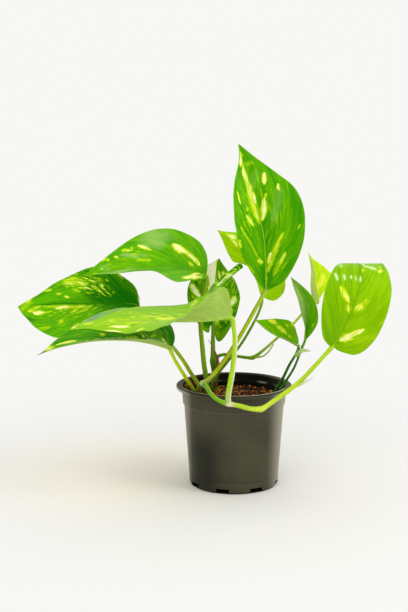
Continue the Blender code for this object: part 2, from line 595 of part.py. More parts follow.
def make_stem(name):
    pieces = [tube(name, route_points(STEMS[name][0]))]
    for index, route in enumerate(STEMS[name][1:]):
        pieces.append(tube(f"{name}_{index}", route_points(route)))
    for index, spot in enumerate(NODES.get(name, [])):
        pieces.append(ball(f"{name}_node_{index}", *spot))
    return fuse(name, pieces)


# ---- Leaves

def keyed(keys, share):
    """Values at share, eased from one key to the next; a key is (share, value, value, ...)."""
    if share <= keys[0][0]:
        return keys[0][1:]
    for low, high in zip(keys, keys[1:]):
        if share <= high[0]:
            f = (share - low[0]) / (high[0] - low[0])
            f = f * f * (3 - 2 * f)
            return tuple(u + (v - u) * f for u, v in zip(low[1:], high[1:]))
    return keys[-1][1:]


def lateral(distance, half, lift, curl):
    """Across and up, at a distance from the midrib along a half that starts at lift and bends by curl."""
    lift, curl = math.radians(lift), math.radians(curl)
    if abs(curl) < 1e-4:
        return distance * math.cos(lift), distance * math.sin(lift)
    k = curl / half
    return ((math.sin(lift + k * distance) - math.sin(lift)) / k,
            (math.cos(lift) - math.cos(lift + k * distance)) / k)


def blade_grid(leaf):
    """Rows of points from the left margin to the right one, along veins that sweep to the tip."""
    rib = Curve(leaf["rib"])
    margins = []
    for points, half in zip(leaf["margin"], leaf["half"]):
        outline = [(0, 0), *points, (1, 0)]
        margins.append(Curve([(along * rib.length, across * half) for along, across in outline]))
    rows = []
    for i in range(ROWS + 1):
        foot = (i / ROWS) ** FOOT_CROWDING
        row = []
        for j in range(-COLUMNS, COLUMNS + 1):
            half = 0 if j < 0 else 1
            out = abs(j) / COLUMNS
            along, across = margins[half].at(i / ROWS)
            arch = min(1.0, max(0.0, -along / rib.length / LOBE)) if leaf.get("arched") else 0.0
            share = foot + (along / rib.length - foot) * (out - arch * (out - out * out))
            way = rib.way(share)
            up = spline(leaf["face"], min(max(share, 0), 1))
            up = unit(up - way * np.dot(up, way))
            right = np.cross(way, up)
            bend = keyed(leaf["bend"], share)
            distance = across * (out + arch * (out - out * out))
            side, rise = lateral(distance, leaf["half"][half], bend[half], bend[2 + half])
            row.append(rib.at(share) + right * (side if half else -side) + up * rise)
        rows.append(row)
    return np.array(rows)


def make_leaf(name):
    """A thin closed blade: the same triangles on both faces, half a thickness either way."""
    grid = blade_grid(LEAVES[name])
    across = 2 * COLUMNS + 1
    place = []
    number = {}
    for i in range(ROWS + 1):
        for j in range(across):
            pole = i in (0, ROWS)
            if not pole or j == COLUMNS:
                number[i, j] = len(place)
                place.append(grid[i, j])
    for j in range(across):
        number[0, j] = number[0, COLUMNS]
        number[ROWS, j] = number[ROWS, COLUMNS]
    triangles = []
    for i in range(ROWS):
        for j in range(across - 1):
            a, b, c, d = number[i, j], number[i, j + 1], number[i + 1, j + 1], number[i + 1, j]
            pair = [(a, b, c), (a, c, d)] if j >= COLUMNS else [(a, b, d), (b, c, d)]
            triangles += [t for t in pair if len(set(t)) == 3]
    place = np.array(place)
    normals = np.zeros_like(place)
    for a, b, c in triangles:
        facing = np.cross(place[b] - place[a], place[c] - place[a])
        for corner in (a, b, c):
            normals[corner] += facing
    normals /= np.linalg.norm(normals, axis=1)[:, None]
    upper = place + normals * BLADE / 2
    lower = place - normals * BLADE / 2
    count = len(place)
    faces = [list(t) for t in triangles] + [[count + c, count + b, count + a] for a, b, c in triangles]
    edges = {}
    for a, b, c in triangles:
        for edge in ((a, b), (b, c), (c, a)):
            edges[edge] = True
    for a, b in edges:
        if (b, a) not in edges:
            faces += [[b, a, count + a], [b, count + a, count + b]]
    return solid(name, [*upper, *lower], faces, 60)


def main():
    make_pot()
    make_mix()
    for name in STEMS:
        make_stem(name)
    for name in LEAVES:
        make_leaf(name)
    for name in COLOURS:
        bpy.data.objects[name].data.materials.clear()
        bpy.data.objects[name].data.materials.append(material(name))


main()
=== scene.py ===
# %% [markdown]
# # A potted pothos, dressed leaf by leaf
#
# The plant is a young golden pothos: a few cuttings in a black nursery pot, with heart-shaped leaves
# marbled in cream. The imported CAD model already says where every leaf, stalk and pot wall stands.
# This lesson loads that model as a fixed frame and gives each piece its finished surface: blades with
# veins and marbling, stalks with rings and sheaths, coir in the pot and moulded plastic round it.

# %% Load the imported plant
import math
import random

import bpy
import numpy as np
from mathutils import Matrix, Vector, noise


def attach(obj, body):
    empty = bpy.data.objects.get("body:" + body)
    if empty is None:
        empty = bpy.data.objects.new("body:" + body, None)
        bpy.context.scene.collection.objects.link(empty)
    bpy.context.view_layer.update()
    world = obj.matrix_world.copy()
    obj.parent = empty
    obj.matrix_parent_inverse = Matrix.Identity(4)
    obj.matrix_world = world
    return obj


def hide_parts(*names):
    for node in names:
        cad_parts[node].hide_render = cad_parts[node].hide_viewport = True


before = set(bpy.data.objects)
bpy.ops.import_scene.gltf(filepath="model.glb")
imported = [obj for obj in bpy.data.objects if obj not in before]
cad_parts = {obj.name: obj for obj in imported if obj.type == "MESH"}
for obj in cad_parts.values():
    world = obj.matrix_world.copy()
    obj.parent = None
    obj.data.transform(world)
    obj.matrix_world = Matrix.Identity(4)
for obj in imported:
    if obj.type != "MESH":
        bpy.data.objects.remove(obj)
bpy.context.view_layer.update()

print("CAD nodes:", ", ".join(sorted(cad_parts)))

# %% [markdown]
# ## Where the viewer stands
#
# A small plant on a table is seen from a little above, with a longish lens so that near leaves don't
# loom. The lens is in millimetres on a 36 mm frame. Tilting the camera down by nine degrees, with no
# shift, keeps the pot's sides leaning in by the right amount.

# %% Camera
MM = 0.001
CAMERA_PLACE = (-0.0265, -1.1225, 0.3419)
CAMERA_TILT = math.radians(9.27)
CAMERA_LENS = 76.5

bpy.ops.object.camera_add(location=CAMERA_PLACE, rotation=(math.pi / 2 - CAMERA_TILT, 0, 0))
camera = bpy.context.object
camera.name = "camera"
camera.data.lens = CAMERA_LENS
scene = bpy.context.scene
scene.camera = camera
print("camera", round(camera.location.length, 3), "m from the pot's foot")

# %% [markdown]
# ## A white table and soft light
#
# The plant stands on white paper in a bright room. White surroundings do most of the lighting, and they
# are also what the glossy leaves and the black pot reflect; some of that reflection is painted into their
# colours. A large soft lamp, high on the right, gives the leaves their modelling and drops a pale shadow
# to the left, whose warmth is painted on the paper.

# %% Room, lamps and table
scene.view_settings.view_transform = 'Standard'
ROOM = (0.935, 0.93, 0.912, 1)

room = bpy.data.worlds.new("white_room")
scene.world = room
room.use_nodes = True
room.node_tree.nodes["Background"].inputs["Color"].default_value = ROOM
room.node_tree.nodes["Background"].inputs["Strength"].default_value = 1.0


def soft_lamp(name, place, aim, size, watts, colour):
    """A square lamp at a place, turned to shine at a point."""
    bpy.ops.object.light_add(type='AREA', location=place)
    lamp = bpy.context.object
    lamp.name = name
    lamp.data.size = size
    lamp.data.energy = watts
    lamp.data.color = colour
    lamp.rotation_euler = (Vector(aim) - Vector(place)).to_track_quat('-Z', 'Y').to_euler()
    print("lamp", name, watts, "W")


soft_lamp("window", (1.0, -0.55, 1.25), (0, 0, 0.12), 0.7, 9.0, (1.0, 0.98, 0.94))
soft_lamp("front_fill", (-0.6, -1.4, 0.9), (0, 0, 0.15), 1.0, 5.0, (1.0, 1.0, 1.0))

bpy.ops.mesh.primitive_circle_add(vertices=96, radius=6, fill_type='NGON', location=(0, 0, -0.4 * MM))
table = bpy.context.object
table.name = "table"

# %% [markdown]
# ## Small helpers for node trees
#
# A material is a chain of small sums. Writing each one out as a node by hand hides the idea, so an
# output here can be added, subtracted and multiplied like a number, and each sum adds its own node.

# %% Node helpers
class Output:
    """A node's output. Each +, - or * on it adds a Math node."""

    def __init__(self, tree, socket):
        self.tree, self.socket = tree, socket

    def __add__(self, other):
        return self.tree.math('ADD', self, other)

    def __mul__(self, other):
        return self.tree.math('MULTIPLY', self, other)

    def __sub__(self, other):
        return self.tree.math('SUBTRACT', self, other)

    def __rsub__(self, other):
        return self.tree.math('SUBTRACT', other, self)


class Tree:
    """Adds nodes to a material or a node group, with numbers or outputs as their inputs."""

    def __init__(self, tree):
        self.tree = tree

    def add(self, kind, values=None, **settings):
        made = self.tree.nodes.new("ShaderNode" + kind)
        for key, value in settings.items():
            setattr(made, key, value)
        self.feed(made.inputs, values or {})
        return made

    def node(self, kind, values=None, out=0, **settings):
        return Output(self, self.add(kind, values, **settings).outputs[out])

    def feed(self, sockets, values):
        for key, value in values.items():
            if isinstance(value, Output):
                self.tree.links.new(value.socket, sockets[key])
            else:
                sockets[key].default_value = value

    def named(self, sockets):
        return {socket.name: Output(self, socket) for socket in sockets}

    def use(self, group, values):
        return self.named(self.add("Group", values, node_tree=group).outputs)

    def math(self, operation, *values):
        return self.node("Math", dict(enumerate(values)), operation=operation)

    def most(self, first, second):
        return self.math('MAXIMUM', first, second)

    def vector(self, operation, *values):
        """A vector sum; a length or a dot product comes out as a plain number."""
        out = 1 if operation in ('LENGTH', 'DOT_PRODUCT') else 0
        return self.node("VectorMath", dict(enumerate(values)), out, operation=operation)

    def ramp(self, value, low, high, to_low=0.0, to_high=1.0):
        """Eases from to_low to to_high as value goes from low to high."""
        return self.node("MapRange", {"Value": value, "From Min": low, "From Max": high, "To Min": to_low,
                                      "To Max": to_high}, interpolation_type='SMOOTHSTEP')

    def mix(self, factor, first, second):
        return self.node("Mix", {"Factor": factor, 6: first, 7: second}, 2, data_type='RGBA')

    def noise(self, place, scale, detail=2.0, roughness=0.5):
        return self.node("TexNoise", {"Vector": place, "Scale": scale, "Detail": detail,
                                      "Roughness": roughness}, "Fac")

    def combine(self, x, y, z=0.0):
        return self.node("CombineXYZ", {"X": x, "Y": y, "Z": z})

    def separate(self, vector):
        return self.named(self.add("SeparateXYZ", {"Vector": vector}).outputs).values()

    def flat_map(self):
        """How far across and along the flat map, each from 0 to 1."""
        across, along, _ = self.separate(self.node("UVMap", uv_map="UVMap"))
        return across, along

    def place(self):
        return self.node("TexCoord", out="Object")

    def stored(self, name, out="Fac"):
        """An attribute that the model step stored on the mesh."""
        return self.node("Attribute", out=out, attribute_name=name)

    def bump(self, height, distance, strength):
        return self.node("Bump", {"Height": height, "Distance": distance, "Strength": strength})


def rgb(red, green, blue):
    return (red, green, blue, 1.0)


SOCKETS = {"value": "NodeSocketFloat", "colour": "NodeSocketColor", "vector": "NodeSocketVector"}


def new_group(name, inputs, outputs):
    """A shader node group, its helper, its inputs and its result; sockets are named by kind."""
    group = bpy.data.node_groups.new(name, 'ShaderNodeTree')
    for direction, kinds in (("INPUT", inputs), ("OUTPUT", outputs)):
        for kind, labels in kinds.items():
            for label in labels.split():
                group.interface.new_socket(name=label, in_out=direction, socket_type=SOCKETS[kind])
    print("node group", name)
    tree = Tree(group)
    given = tree.named(group.nodes.new("NodeGroupInput").outputs)
    return group, tree, given, group.nodes.new("NodeGroupOutput").inputs


def new_material(name, roughness, **constants):
    """A material, the helper that fills it and its shader's inputs, with the constants set."""
    finish = bpy.data.materials.new(name)
    finish.use_nodes = True
    shader = finish.node_tree.nodes["Principled BSDF"].inputs
    for label, value in {"Roughness": roughness, **constants}.items():
        shader[label.replace("_", " ")].default_value = value
    print("finish", name)
    return finish, Tree(finish.node_tree), shader


# %% [markdown]
# ## The paper
#
# The paper has a painted warm shadow beside the pot and painted shade right under the foot. Going away
# from the foot it turns, more and more, into a glow of the room's white, so that no horizon shows from
# any side; near the pot this glow already lightens the shadow a little.

# %% Table paper
PAPER_FADE = (0.04, 0.5)                  # metres from the pot's axis
# Middle and reach of the painted warm shadow beside the pot, in metres
SHADOW_PLACE, SHADOW_REACH = (-0.12, 0.03, 0.0), (0.18, 0.05)
# Painted shade under the foot: full nearer the axis than the second number, gone past the first, in metres
UNDER_FOOT = (0.0385, 0.0365)


def paper_finish():
    finish, tree, shader = new_material("table_paper", 0.9, Specular_IOR_Level=0.1)
    place = tree.place()
    away = tree.vector('LENGTH', place)
    shade = tree.vector('LENGTH', tree.vector('SUBTRACT', place, SHADOW_PLACE))
    # Painted warm shadow beside the pot
    paper = tree.mix(tree.ramp(shade, *SHADOW_REACH), rgb(0.765, 0.76, 0.745), rgb(0.835, 0.79, 0.71))
    painted_shade_under_foot = tree.ramp(away, *UNDER_FOOT)
    tree.feed(shader, {"Base Color": tree.mix(painted_shade_under_foot, paper, rgb(0.02, 0.018, 0.012))})
    glow = tree.node("Emission", {"Color": ROOM, "Strength": 1.0})
    nodes = tree.tree.nodes
    near = Output(tree, nodes["Principled BSDF"].outputs[0])
    # The paper glows with the room's white, more and more away from the foot; near the pot this lightens
    # its shadow
    blend = tree.node("MixShader", {"Fac": tree.ramp(away, *PAPER_FADE), 1: near, 2: glow})
    tree.feed(nodes["Material Output"].inputs, {"Surface": blend})
    return finish


table.data.materials.append(paper_finish())

# %% [markdown]
# ## Curves that a plant grows along
#
# A stalk, a midrib and a leaf's margin are all smooth curves through a few points. A Catmull-Rom curve
# passes through each point it is given, so the points can be read off the plant. Reading the curve by
# its share of length, from 0 to 1, keeps what is laid along it evenly spaced. Routes are in millimetres.

# %% Curve helpers
def unit(v):
    return v / np.linalg.norm(v, axis=-1, keepdims=True)


def spline(points, t):
    """Points on a Catmull-Rom curve, one for each value of t from 0 to 1."""
    p = np.asarray(points, float)
    p = np.vstack([2 * p[0] - p[1], p, 2 * p[-1] - p[-2]])
    s = np.clip(t, 0, 1) * (len(p) - 3)
    i = np.minimum(s.astype(int), len(p) - 4)
    f = (s - i)[:, None]
    a, b, c, d = p[i], p[i + 1], p[i + 2], p[i + 3]
    return 0.5 * (2 * b + (c - a) * f + (2 * a - 5 * b + 4 * c - d) * f ** 2
                  + (3 * b - a - 3 * c + d) * f ** 3)


class Route:
    """A smooth curve through points, read by its share of length."""

    def __init__(self, points, steps=96):
        self.points = spline(points, np.linspace(0, 1, steps + 1))
        runs = np.linalg.norm(np.diff(self.points[:, :3], axis=0), axis=1)
        self.run = np.concatenate([[0.0], np.cumsum(runs)])
        self.length = self.run[-1]

    def at(self, share):
        """Past either end, the curve goes straight on."""
        reach = np.asarray(share, float) * self.length
        inside = np.column_stack([np.interp(reach, self.run, column) for column in self.points.T])
        before = np.minimum(reach, 0)[:, None] * unit(self.points[1] - self.points[0])
        after = np.maximum(reach - self.length, 0)[:, None] * unit(self.points[-1] - self.points[-2])
        return inside + before + after

    def way(self, share):
        share = np.clip(share, 0, 1)
        return unit((self.at(np.minimum(share + 0.02, 1)) - self.at(np.maximum(share - 0.02, 0)))[:, :3])


def keyed(keys, share):
    """Columns of values at each share, eased from key to key; a key is (share, value, value, ...)."""
    keys = np.asarray(keys, float)
    i = np.clip(np.searchsorted(keys[:, 0], share) - 1, 0, len(keys) - 2)
    f = np.clip((share - keys[i, 0]) / (keys[i + 1, 0] - keys[i, 0]), 0, 1)
    f = (f * f * (3 - 2 * f))[:, None]
    return keys[i, 1:] * (1 - f) + keys[i + 1, 1:] * f


print("half way round a quarter turn:", Route([(1, 0), (0.707, 0.707), (0, 1)]).at([0.5]).round(3))

# %% [markdown]
# ## Making a mesh and putting it in its place
#
# Most pieces start as a grid, which is rolled or bent by moving its points. The operators act on
# whatever is selected, so each piece starts from nothing selected. A finished piece keeps its place in
# its mesh and leaves its object at the origin, as the CAD nodes do, so that patterns which read object
# coordinates stay put.

# %% Piece helpers
BODY = "root"
WELD = 0.01 * MM               # points nearer than this are one point


def fresh():
    """Nothing selected, so that the next primitive is alone."""
    bpy.ops.object.select_all(action='DESELECT')


def pick(*pieces):
    fresh()
    for piece in pieces:
        piece.select_set(True)
    bpy.context.view_layer.objects.active = pieces[-1]


def corners(piece):
    co = np.empty(len(piece.data.vertices) * 3)
    piece.data.vertices.foreach_get("co", co)
    return co.reshape(-1, 3)


def grid(columns, rows):
    """A grid a metre wide, its points as laid out flat, and the row that each point is in."""
    fresh()
    bpy.ops.mesh.primitive_grid_add(x_subdivisions=columns, y_subdivisions=rows, size=1)
    piece = bpy.context.object
    flat = corners(piece)
    return piece, flat, np.rint((flat[:, 1] + 0.5) * rows).astype(int)


def place_points(piece, points):
    """Moves each vertex of a piece to its point, given in millimetres."""
    piece.data.vertices.foreach_set("co", (np.asarray(points, float) * MM).ravel())
    piece.data.update()


def weld(piece, turn_out=True):
    """Merges points that lie on each other, as at a pole or a seam."""
    pick(piece)
    bpy.ops.object.mode_set(mode='EDIT')
    bpy.ops.mesh.select_all(action='SELECT')
    bpy.ops.mesh.remove_doubles(threshold=WELD)
    if turn_out:
        bpy.ops.mesh.normals_make_consistent(inside=False)
    bpy.ops.object.mode_set(mode='OBJECT')


def modify(piece, kind, **settings):
    """Adds a modifier, sets it and applies it."""
    modifier = piece.modifiers.new(kind, kind)
    for key, value in settings.items():
        setattr(modifier, key, value)
    pick(piece)
    bpy.ops.object.modifier_apply(modifier=modifier.name)


def attribute(piece, name, values):
    """Stores a number, or a colour where there are three, for each vertex."""
    values = np.asarray(values, np.float32)
    if values.ndim == 1:
        piece.data.attributes.new(name, 'FLOAT', 'POINT').data.foreach_set("value", values)
    else:
        values = np.column_stack([values, np.ones(len(values), np.float32)])
        piece.data.attributes.new(name, 'FLOAT_COLOR', 'POINT').data.foreach_set("color", values.ravel())


def join(name, pieces):
    pick(*pieces)
    bpy.ops.object.join()
    joined = bpy.context.object
    joined.name = joined.data.name = name
    return joined


def hand_over(piece, name, finish, node, angle=50):
    """Names a piece, smooths it, gives it its finish and lets it stand for its CAD node."""
    piece.name = piece.data.name = name
    pick(piece)
    bpy.ops.object.transform_apply(location=True, rotation=True, scale=True)
    bpy.ops.object.shade_smooth_by_angle(angle=math.radians(angle))
    piece.data.materials.clear()
    piece.data.materials.append(finish)
    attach(piece, BODY)
    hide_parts(node)
    print(name, len(piece.data.polygons), "faces")


# %% [markdown]
# ## The eleven blades
#
# A pothos leaf is a heart folded a little along its midrib. Its form comes from a few numbers: the
# midrib's route, which way the upper face looks, the widths of the left and right halves, their
# margins, and how much each half is lifted and curled. The midribs and widths are those of the CAD
# leaves, but for the dip at the base of leaf D, and the margins are drawn finer. No point of a
# finished blade is more than 6 mm from its solid one. The solids of leaves B, D, I and J reach up to
# 9 mm further than their blades do, and the solid of leaf E has no open cleft.

# %% Blade sizes
FOOT_CROWDING = 1.6            # over 1, the veins' feet crowd towards the base
LOBE = 0.06                    # share of length behind the base from where a lobe's veins fully arch

# A plain left margin. Margins are in hundredths of the midrib's length and of the half's width.
PLAIN = [(1, 30), (2, 55), (7, 80), (16, 96), (28, 100), (45, 90), (62, 66), (78, 38), (91, 13)]

# rib is the midrib from base to tip, and face the way the upper face looks along it. half and margin
# are for the left half, then the right. bend is (share of length, left lift, right lift, left curl,
# right curl) in degrees, lift at the midrib and curl across the half; no curl may be left out. cleft
# is where the cleft between the lobes is opened, and arched is for veins that run back into long lobes.
LEAVES = {
    "leaf_a": dict(
        rib=[(26.8, -18, 175.6), (26, -22, 200), (24, -24, 223.7), (18.8, -24, 243), (11.6, -20, 263.3),
             (2.7, -8, 300.2)],
        face=[(0, -1, 0.05), (0, -1, 0.1), (-0.1, -1, 0.3)], half=(28, 40),
        margin=([(1, 11), (4.5, 23), (11.5, 45), (19.5, 69), (28, 86), (39, 93), (52.5, 86), (64.5, 64),
                 (76, 40), (89, 10)],
                [(0.5, 7), (3, 21), (7.5, 42), (14, 57), (21.5, 71), (31.5, 85), (39.5, 93), (46, 98),
                 (53, 98), (60, 91), (69, 76), (79.5, 51), (89.5, 25)]),
        bend=[(0, 34, 26), (0.5, 30, 22, 0, -10), (1, 25, 15, 0, -20)]),
    "leaf_b": dict(
        rib=[(24.5, 0, 167), (24, 6, 181), (17.5, 10, 198), (6, 13, 211), (-15, 14, 224)],
        face=[(0.2, -1, 0.1), (0.1, -1, 0.1), (0, -0.9, 0.3)], half=(20, 24),
        margin=([(2, 8), (10, 18), (22, 26), (34, 32), (43, 42), (50, 58), (56, 73), (63, 78), (74, 66),
                 (81, 50), (88.5, 28), (96, 8)],
                [(-4, 25), (-4, 48), (1, 68), (10, 83), (25, 93), (45, 88), (62, 66), (78, 38),
                 (91, 13)]),
        bend=[(0, 5, 5), (0.5, 0, -20, 0, -20), (1, 0, -30, 0, -20)]),
    "leaf_c": dict(
        rib=[(-24.5, -12, 187.3), (-36, -13, 192), (-56, -16, 196), (-83, -20, 195.5), (-108, -24, 192.5),
             (-127.5, -28, 189.5)],
        face=[(0, -0.45, 0.89), (0, -0.45, 0.89)], half=(30, 40),
        margin=([(0, 11), (4, 37), (12, 67), (21, 93), (30, 105), (40, 100), (52, 85), (68, 60), (84, 30),
                 (93, 12)],
                [(1.5, 25), (4.5, 46), (7.5, 63), (11, 80), (16.5, 91), (22, 97), (29.5, 101),
                 (35.5, 100), (44.5, 94), (56, 82), (67, 63), (79.5, 39), (90, 21)]),
        bend=[(0, 12, 20), (0.25, 10, 20), (0.5, 26, 20), (1, 24, 20)]),
    "leaf_d": dict(
        rib=[(-83, 6, 156), (-88, 6, 159.5), (-105, 5, 160), (-133, 6, 160), (-160, 10, 159),
             (-191.5, 14, 155.8)],
        face=[(0, -0.85, 0.53), (0, -0.85, 0.53)], half=(36, 34),
        margin=([(0, 30), (3, 60), (10, 85), (25, 100), (42, 102), (55, 101), (63.5, 99), (68, 95),
                 (77, 81), (85, 62), (90.5, 41), (95.7, 22)],
                [(4, 10), (5, 25), (6, 40), (8, 53), (12, 66), (18, 79), (26, 92), (34, 98), (44, 93),
                 (54.5, 80), (62.5, 67), (70, 54), (77, 39), (84.5, 25), (92.5, 13)]),
        bend=[(0, 14, 14), (1, 10, 10)]),
    "leaf_e": dict(
        rib=[(-4, -62, 160), (-30, -65, 157.5), (-62, -70, 158), (-100, -79, 160), (-120, -84, 158),
             (-131, -88, 154)],
        face=[(0, 0, 1), (0, 0, 1)], half=(37, 40),
        margin=([(0, 30), (0.8, 60), (2, 86), (3.5, 98), (6, 104), (10, 109), (16, 109), (24, 106),
                 (34, 100), (50, 90), (64, 77), (78, 54), (90, 27)],
                [(-3, 20), (-7, 50), (-10, 85), (-13.5, 112), (-12, 127), (-4, 117), (10, 105), (22, 102),
                 (42, 95), (58, 80), (74, 55), (88, 26)]),
        bend=[(-0.12, 54, 49), (-0.03, 54, 44), (0.04, 52, 35), (0.14, 41, 20), (0.26, 27, 11),
              (0.36, 13, 9), (0.46, 4, 9), (0.58, -6, 10), (0.72, -17, 14), (0.86, -19, 16),
              (1, -14, 14)], cleft=(-57, -14, (-13, -34.5, 181), (7, -32.2, 194.2))),
    "leaf_f": dict(
        rib=[(-56, -40, 129.5), (-72, -43, 134.7), (-92, -47, 138), (-120, -51, 137.8), (-148, -55, 133),
             (-166, -58, 126.5)],
        face=[(0, -0.3, 0.95), (0, -0.3, 0.95)], half=(32, 36),
        margin=([(-2, 20), (-3, 40), (0, 68), (10, 92), (28, 100), (45, 90), (62, 66), (78, 36), (90, 11),
                 (95, 4)],
                [(-3, 13), (-4, 37), (-2.5, 61), (0, 77), (6, 92), (16, 102), (30, 100), (45, 90),
                 (62, 68), (78, 40), (89, 14), (95, 4)]),
        bend=[(0, 30, 16), (0.5, 28.5, 14), (1, 27, 12)]),
    "leaf_g": dict(
        rib=[(-18, 12, 141), (-18, 13, 158), (-16.5, 15, 178), (-13, 18, 198.5)],
        face=[(0, -1, 0.1), (0, -1, 0.2), (0, -1, 0.3)], half=(23, 22),
        margin=([(-5, 13), (-14, 20), (-8, 45), (8, 74), (28, 98), (48, 105), (66, 90), (82, 50),
                 (93, 20)],
                [(-7, 5), (-18, 6), (-26, 13), (-27, 28), (-20, 46), (-12, 60), (2, 80), (16, 95),
                 (34, 105), (45, 106), (60, 93), (72, 75), (84, 42), (93, 17)]),
        bend=[(0, 12, 12), (1, 10, 10)], arched=True),
    "leaf_h": dict(
        rib=[(56.5, -2, 124), (48, -5, 129), (32, -8, 137), (18, -10, 148)],
        face=[(0, -0.6, 0.8), (0, -0.6, 0.8)], half=(15, 18.5),
        margin=(PLAIN,
                [(2, 20), (7.5, 47), (16.5, 74), (28, 93), (44, 92), (66, 69), (85, 34), (94, 12)]),
        bend=[(0, 45, 20), (1, 42, 20)]),
    "leaf_i": dict(
        rib=[(63, 2, 128), (63.5, 0, 148), (60, 0, 166), (49.5, 4, 184)],
        face=[(0.3, -0.9, 0), (0.3, -0.9, 0), (0.2, -0.9, 0.2)], half=(13, 11.5),
        margin=([(2, 10), (10, 22), (20, 50), (30, 85), (42, 105), (57, 100), (72, 74), (86, 38),
                 (94, 15)],
                [(6, 25), (17, 60), (29, 86), (40, 91), (52, 80), (66, 60), (84, 30), (93, 12)]),
        bend=[(0, 60, 20), (0.5, 50, 20), (1, 44, 20)]),
    "leaf_j": dict(
        rib=[(72.5, 28, 156), (70, 28, 172), (70, 30, 188), (67, 36, 202.5)],
        face=[(0.5, -0.8, 0), (0.5, -0.8, 0.1), (0.5, -0.8, 0.2)], half=(20, 24),
        margin=(PLAIN,
                [(2, 10), (6, 21), (13, 37), (21, 55), (30, 80), (40, 97), (52, 90), (64, 64), (74, 38),
                 (82, 17), (91, 5)]),
        bend=[(0, 70, 10), (1, 60, 10)]),
    "leaf_k": dict(
        rib=[(82, -50, 132.5), (89, -54, 146), (97, -57, 165), (102.5, -56, 182), (107, -49, 195.5),
             (110, -38, 200.5), (113, -24, 198), (116, -8, 186)],
        face=[(0.1, -1, 0), (0, -1, 0.1), (-0.12, -0.8, 0.6), (-0.16, 0.6, 0.8)], half=(28, 28),
        margin=([(-1, 8), (1, 28), (3.5, 44), (8, 59), (14, 73), (22.5, 88), (31, 97), (40, 99), (51, 94),
                 (59, 87), (68, 74), (82, 42), (93, 14)],
                [(-1, 16), (0, 42), (2, 67), (6.5, 83), (12.5, 94), (20.5, 100), (34, 100), (42, 98),
                 (50, 94), (57, 85), (71, 57), (83, 36), (93, 13)]),
        bend=[(0, 12, 10, 0, -8), (0.35, 10, 8, 0, -8), (0.6, 0, -4, 0, -8), (1, 0, 0, 0, -10)]),
}
print(len(LEAVES), "blades")

# %% [markdown]
# ## From a flat grid to a leaf
#
# A grid primitive already has a flat map: one side runs from the left margin to the right, the other
# from the base to the tip. Each row of the grid becomes a vein, which leaves the midrib and sweeps
# forward to the margin. Since the grid's own UV map stays with it, a pattern on that map follows the
# veins, as the marbling of the real leaf does.

# %% Where a point of a blade goes
def blade_form(leaf, t, s):
    """Points, upward ways, reach from the midrib and from the margin, for veins t at s across.

    t runs from 0 at the base to 1 at the tip, and s from -1 at the left margin to 1 at the right."""
    rib = Route(leaf["rib"])
    sides = [Route([(0, 0), *((along / 100 * rib.length, across / 100 * half) for along, across in points),
                    (rib.length, 0)]).at(t) for points, half in zip(leaf["margin"], leaf["half"])]
    right_side = s > 0
    margin = np.where(right_side[:, None], sides[1], sides[0])
    out = np.abs(s)
    arch = np.clip(-margin[:, 0] / rib.length / LOBE, 0, 1) if leaf.get("arched") else 0 * t
    foot = t ** FOOT_CROWDING
    share = foot + (margin[:, 0] / rib.length - foot) * (out - arch * (out - out * out))
    reach = margin[:, 1] * (out + arch * (out - out * out))
    way = rib.way(share)
    up = spline(leaf["face"], share)
    up = unit(up - way * np.sum(up * way, axis=1, keepdims=True))
    right = np.cross(way, up)
    bend = np.radians(keyed([(*key, 0, 0)[:5] for key in leaf["bend"]], share))
    lift = np.where(right_side, bend[:, 1], bend[:, 0])
    curl = np.where(right_side, bend[:, 3] / leaf["half"][1], bend[:, 2] / leaf["half"][0])
    straight = np.abs(curl) < 1e-6
    safe = np.where(straight, 1, curl)
    aside = np.where(straight, reach * np.cos(lift), (np.sin(lift + safe * reach) - np.sin(lift)) / safe)
    rise = np.where(straight, reach * np.sin(lift), (np.cos(lift) - np.cos(lift + safe * reach)) / safe)
    point = rib.at(share) + right * (aside * np.sign(s))[:, None] + up * rise[:, None]
    return point, up, reach, margin[:, 1] - reach


# %% [markdown]
# ## Veins, ripples and thickness
#
# Seen close, a blade isn't a plain sheet. The midrib is a groove above and a ridge below, the side
# veins draw the surface in so that it quilts between them, and the margin ripples slightly. Solidify
# gives the thickness: a vertex group makes it thick at the midrib and thin at the margin.

# %% Model one blade
VEINS = 11                     # side veins in each half
STAGGER = 0.35                 # how far the right half's veins are out of step with the left's
SWEEP = 0.35                   # how far the side veins run forward to the margin, as a share
ALONG, ACROSS = 104, 48        # grid rows from base to tip, and columns from margin to margin
SHEET = 0.42                   # blade's thickness, in millimetres
RIDGE, RIDGE_HALF = 1.7, 1.1   # thickness at the midrib's foot, and half the width of the ridge
GROOVE, GROOVE_HALF = 0.45, 0.9
QUILT = 0.16                   # heights of the quilting, of the margin's ripple and of broad lumps
RIPPLE = 0.5
LUMP = 0.5
CLEFT_LEAN = -0.163            # how far the cut that opens a cleft leans back


def open_cleft(blade, behind, beside, low, high):
    """Opens the cleft between the lobes of a folded blade, under the line from low to high."""
    pick(blade)
    bpy.ops.object.mode_set(mode='EDIT')
    for point, normal in (((beside, 0, 0), (1, 0, 0)), ((0, behind, 0), (0, 1, 0))):
        bpy.ops.mesh.select_all(action='SELECT')
        bpy.ops.mesh.bisect(plane_co=Vector(point) * MM, plane_no=normal)
    bpy.ops.mesh.select_mode(type='FACE')
    bpy.ops.mesh.select_all(action='DESELECT')
    bpy.ops.object.mode_set(mode='OBJECT')
    for face in blade.data.polygons:
        face.select = face.center.x > beside * MM and face.center.y > behind * MM
    bpy.ops.object.mode_set(mode='EDIT')
    line = Vector(high) - Vector(low)
    bpy.ops.mesh.bisect(plane_co=Vector(low) * MM, plane_no=line.cross(Vector((0, 1, CLEFT_LEAN))),
                        clear_inner=True)
    bpy.ops.object.mode_set(mode='OBJECT')


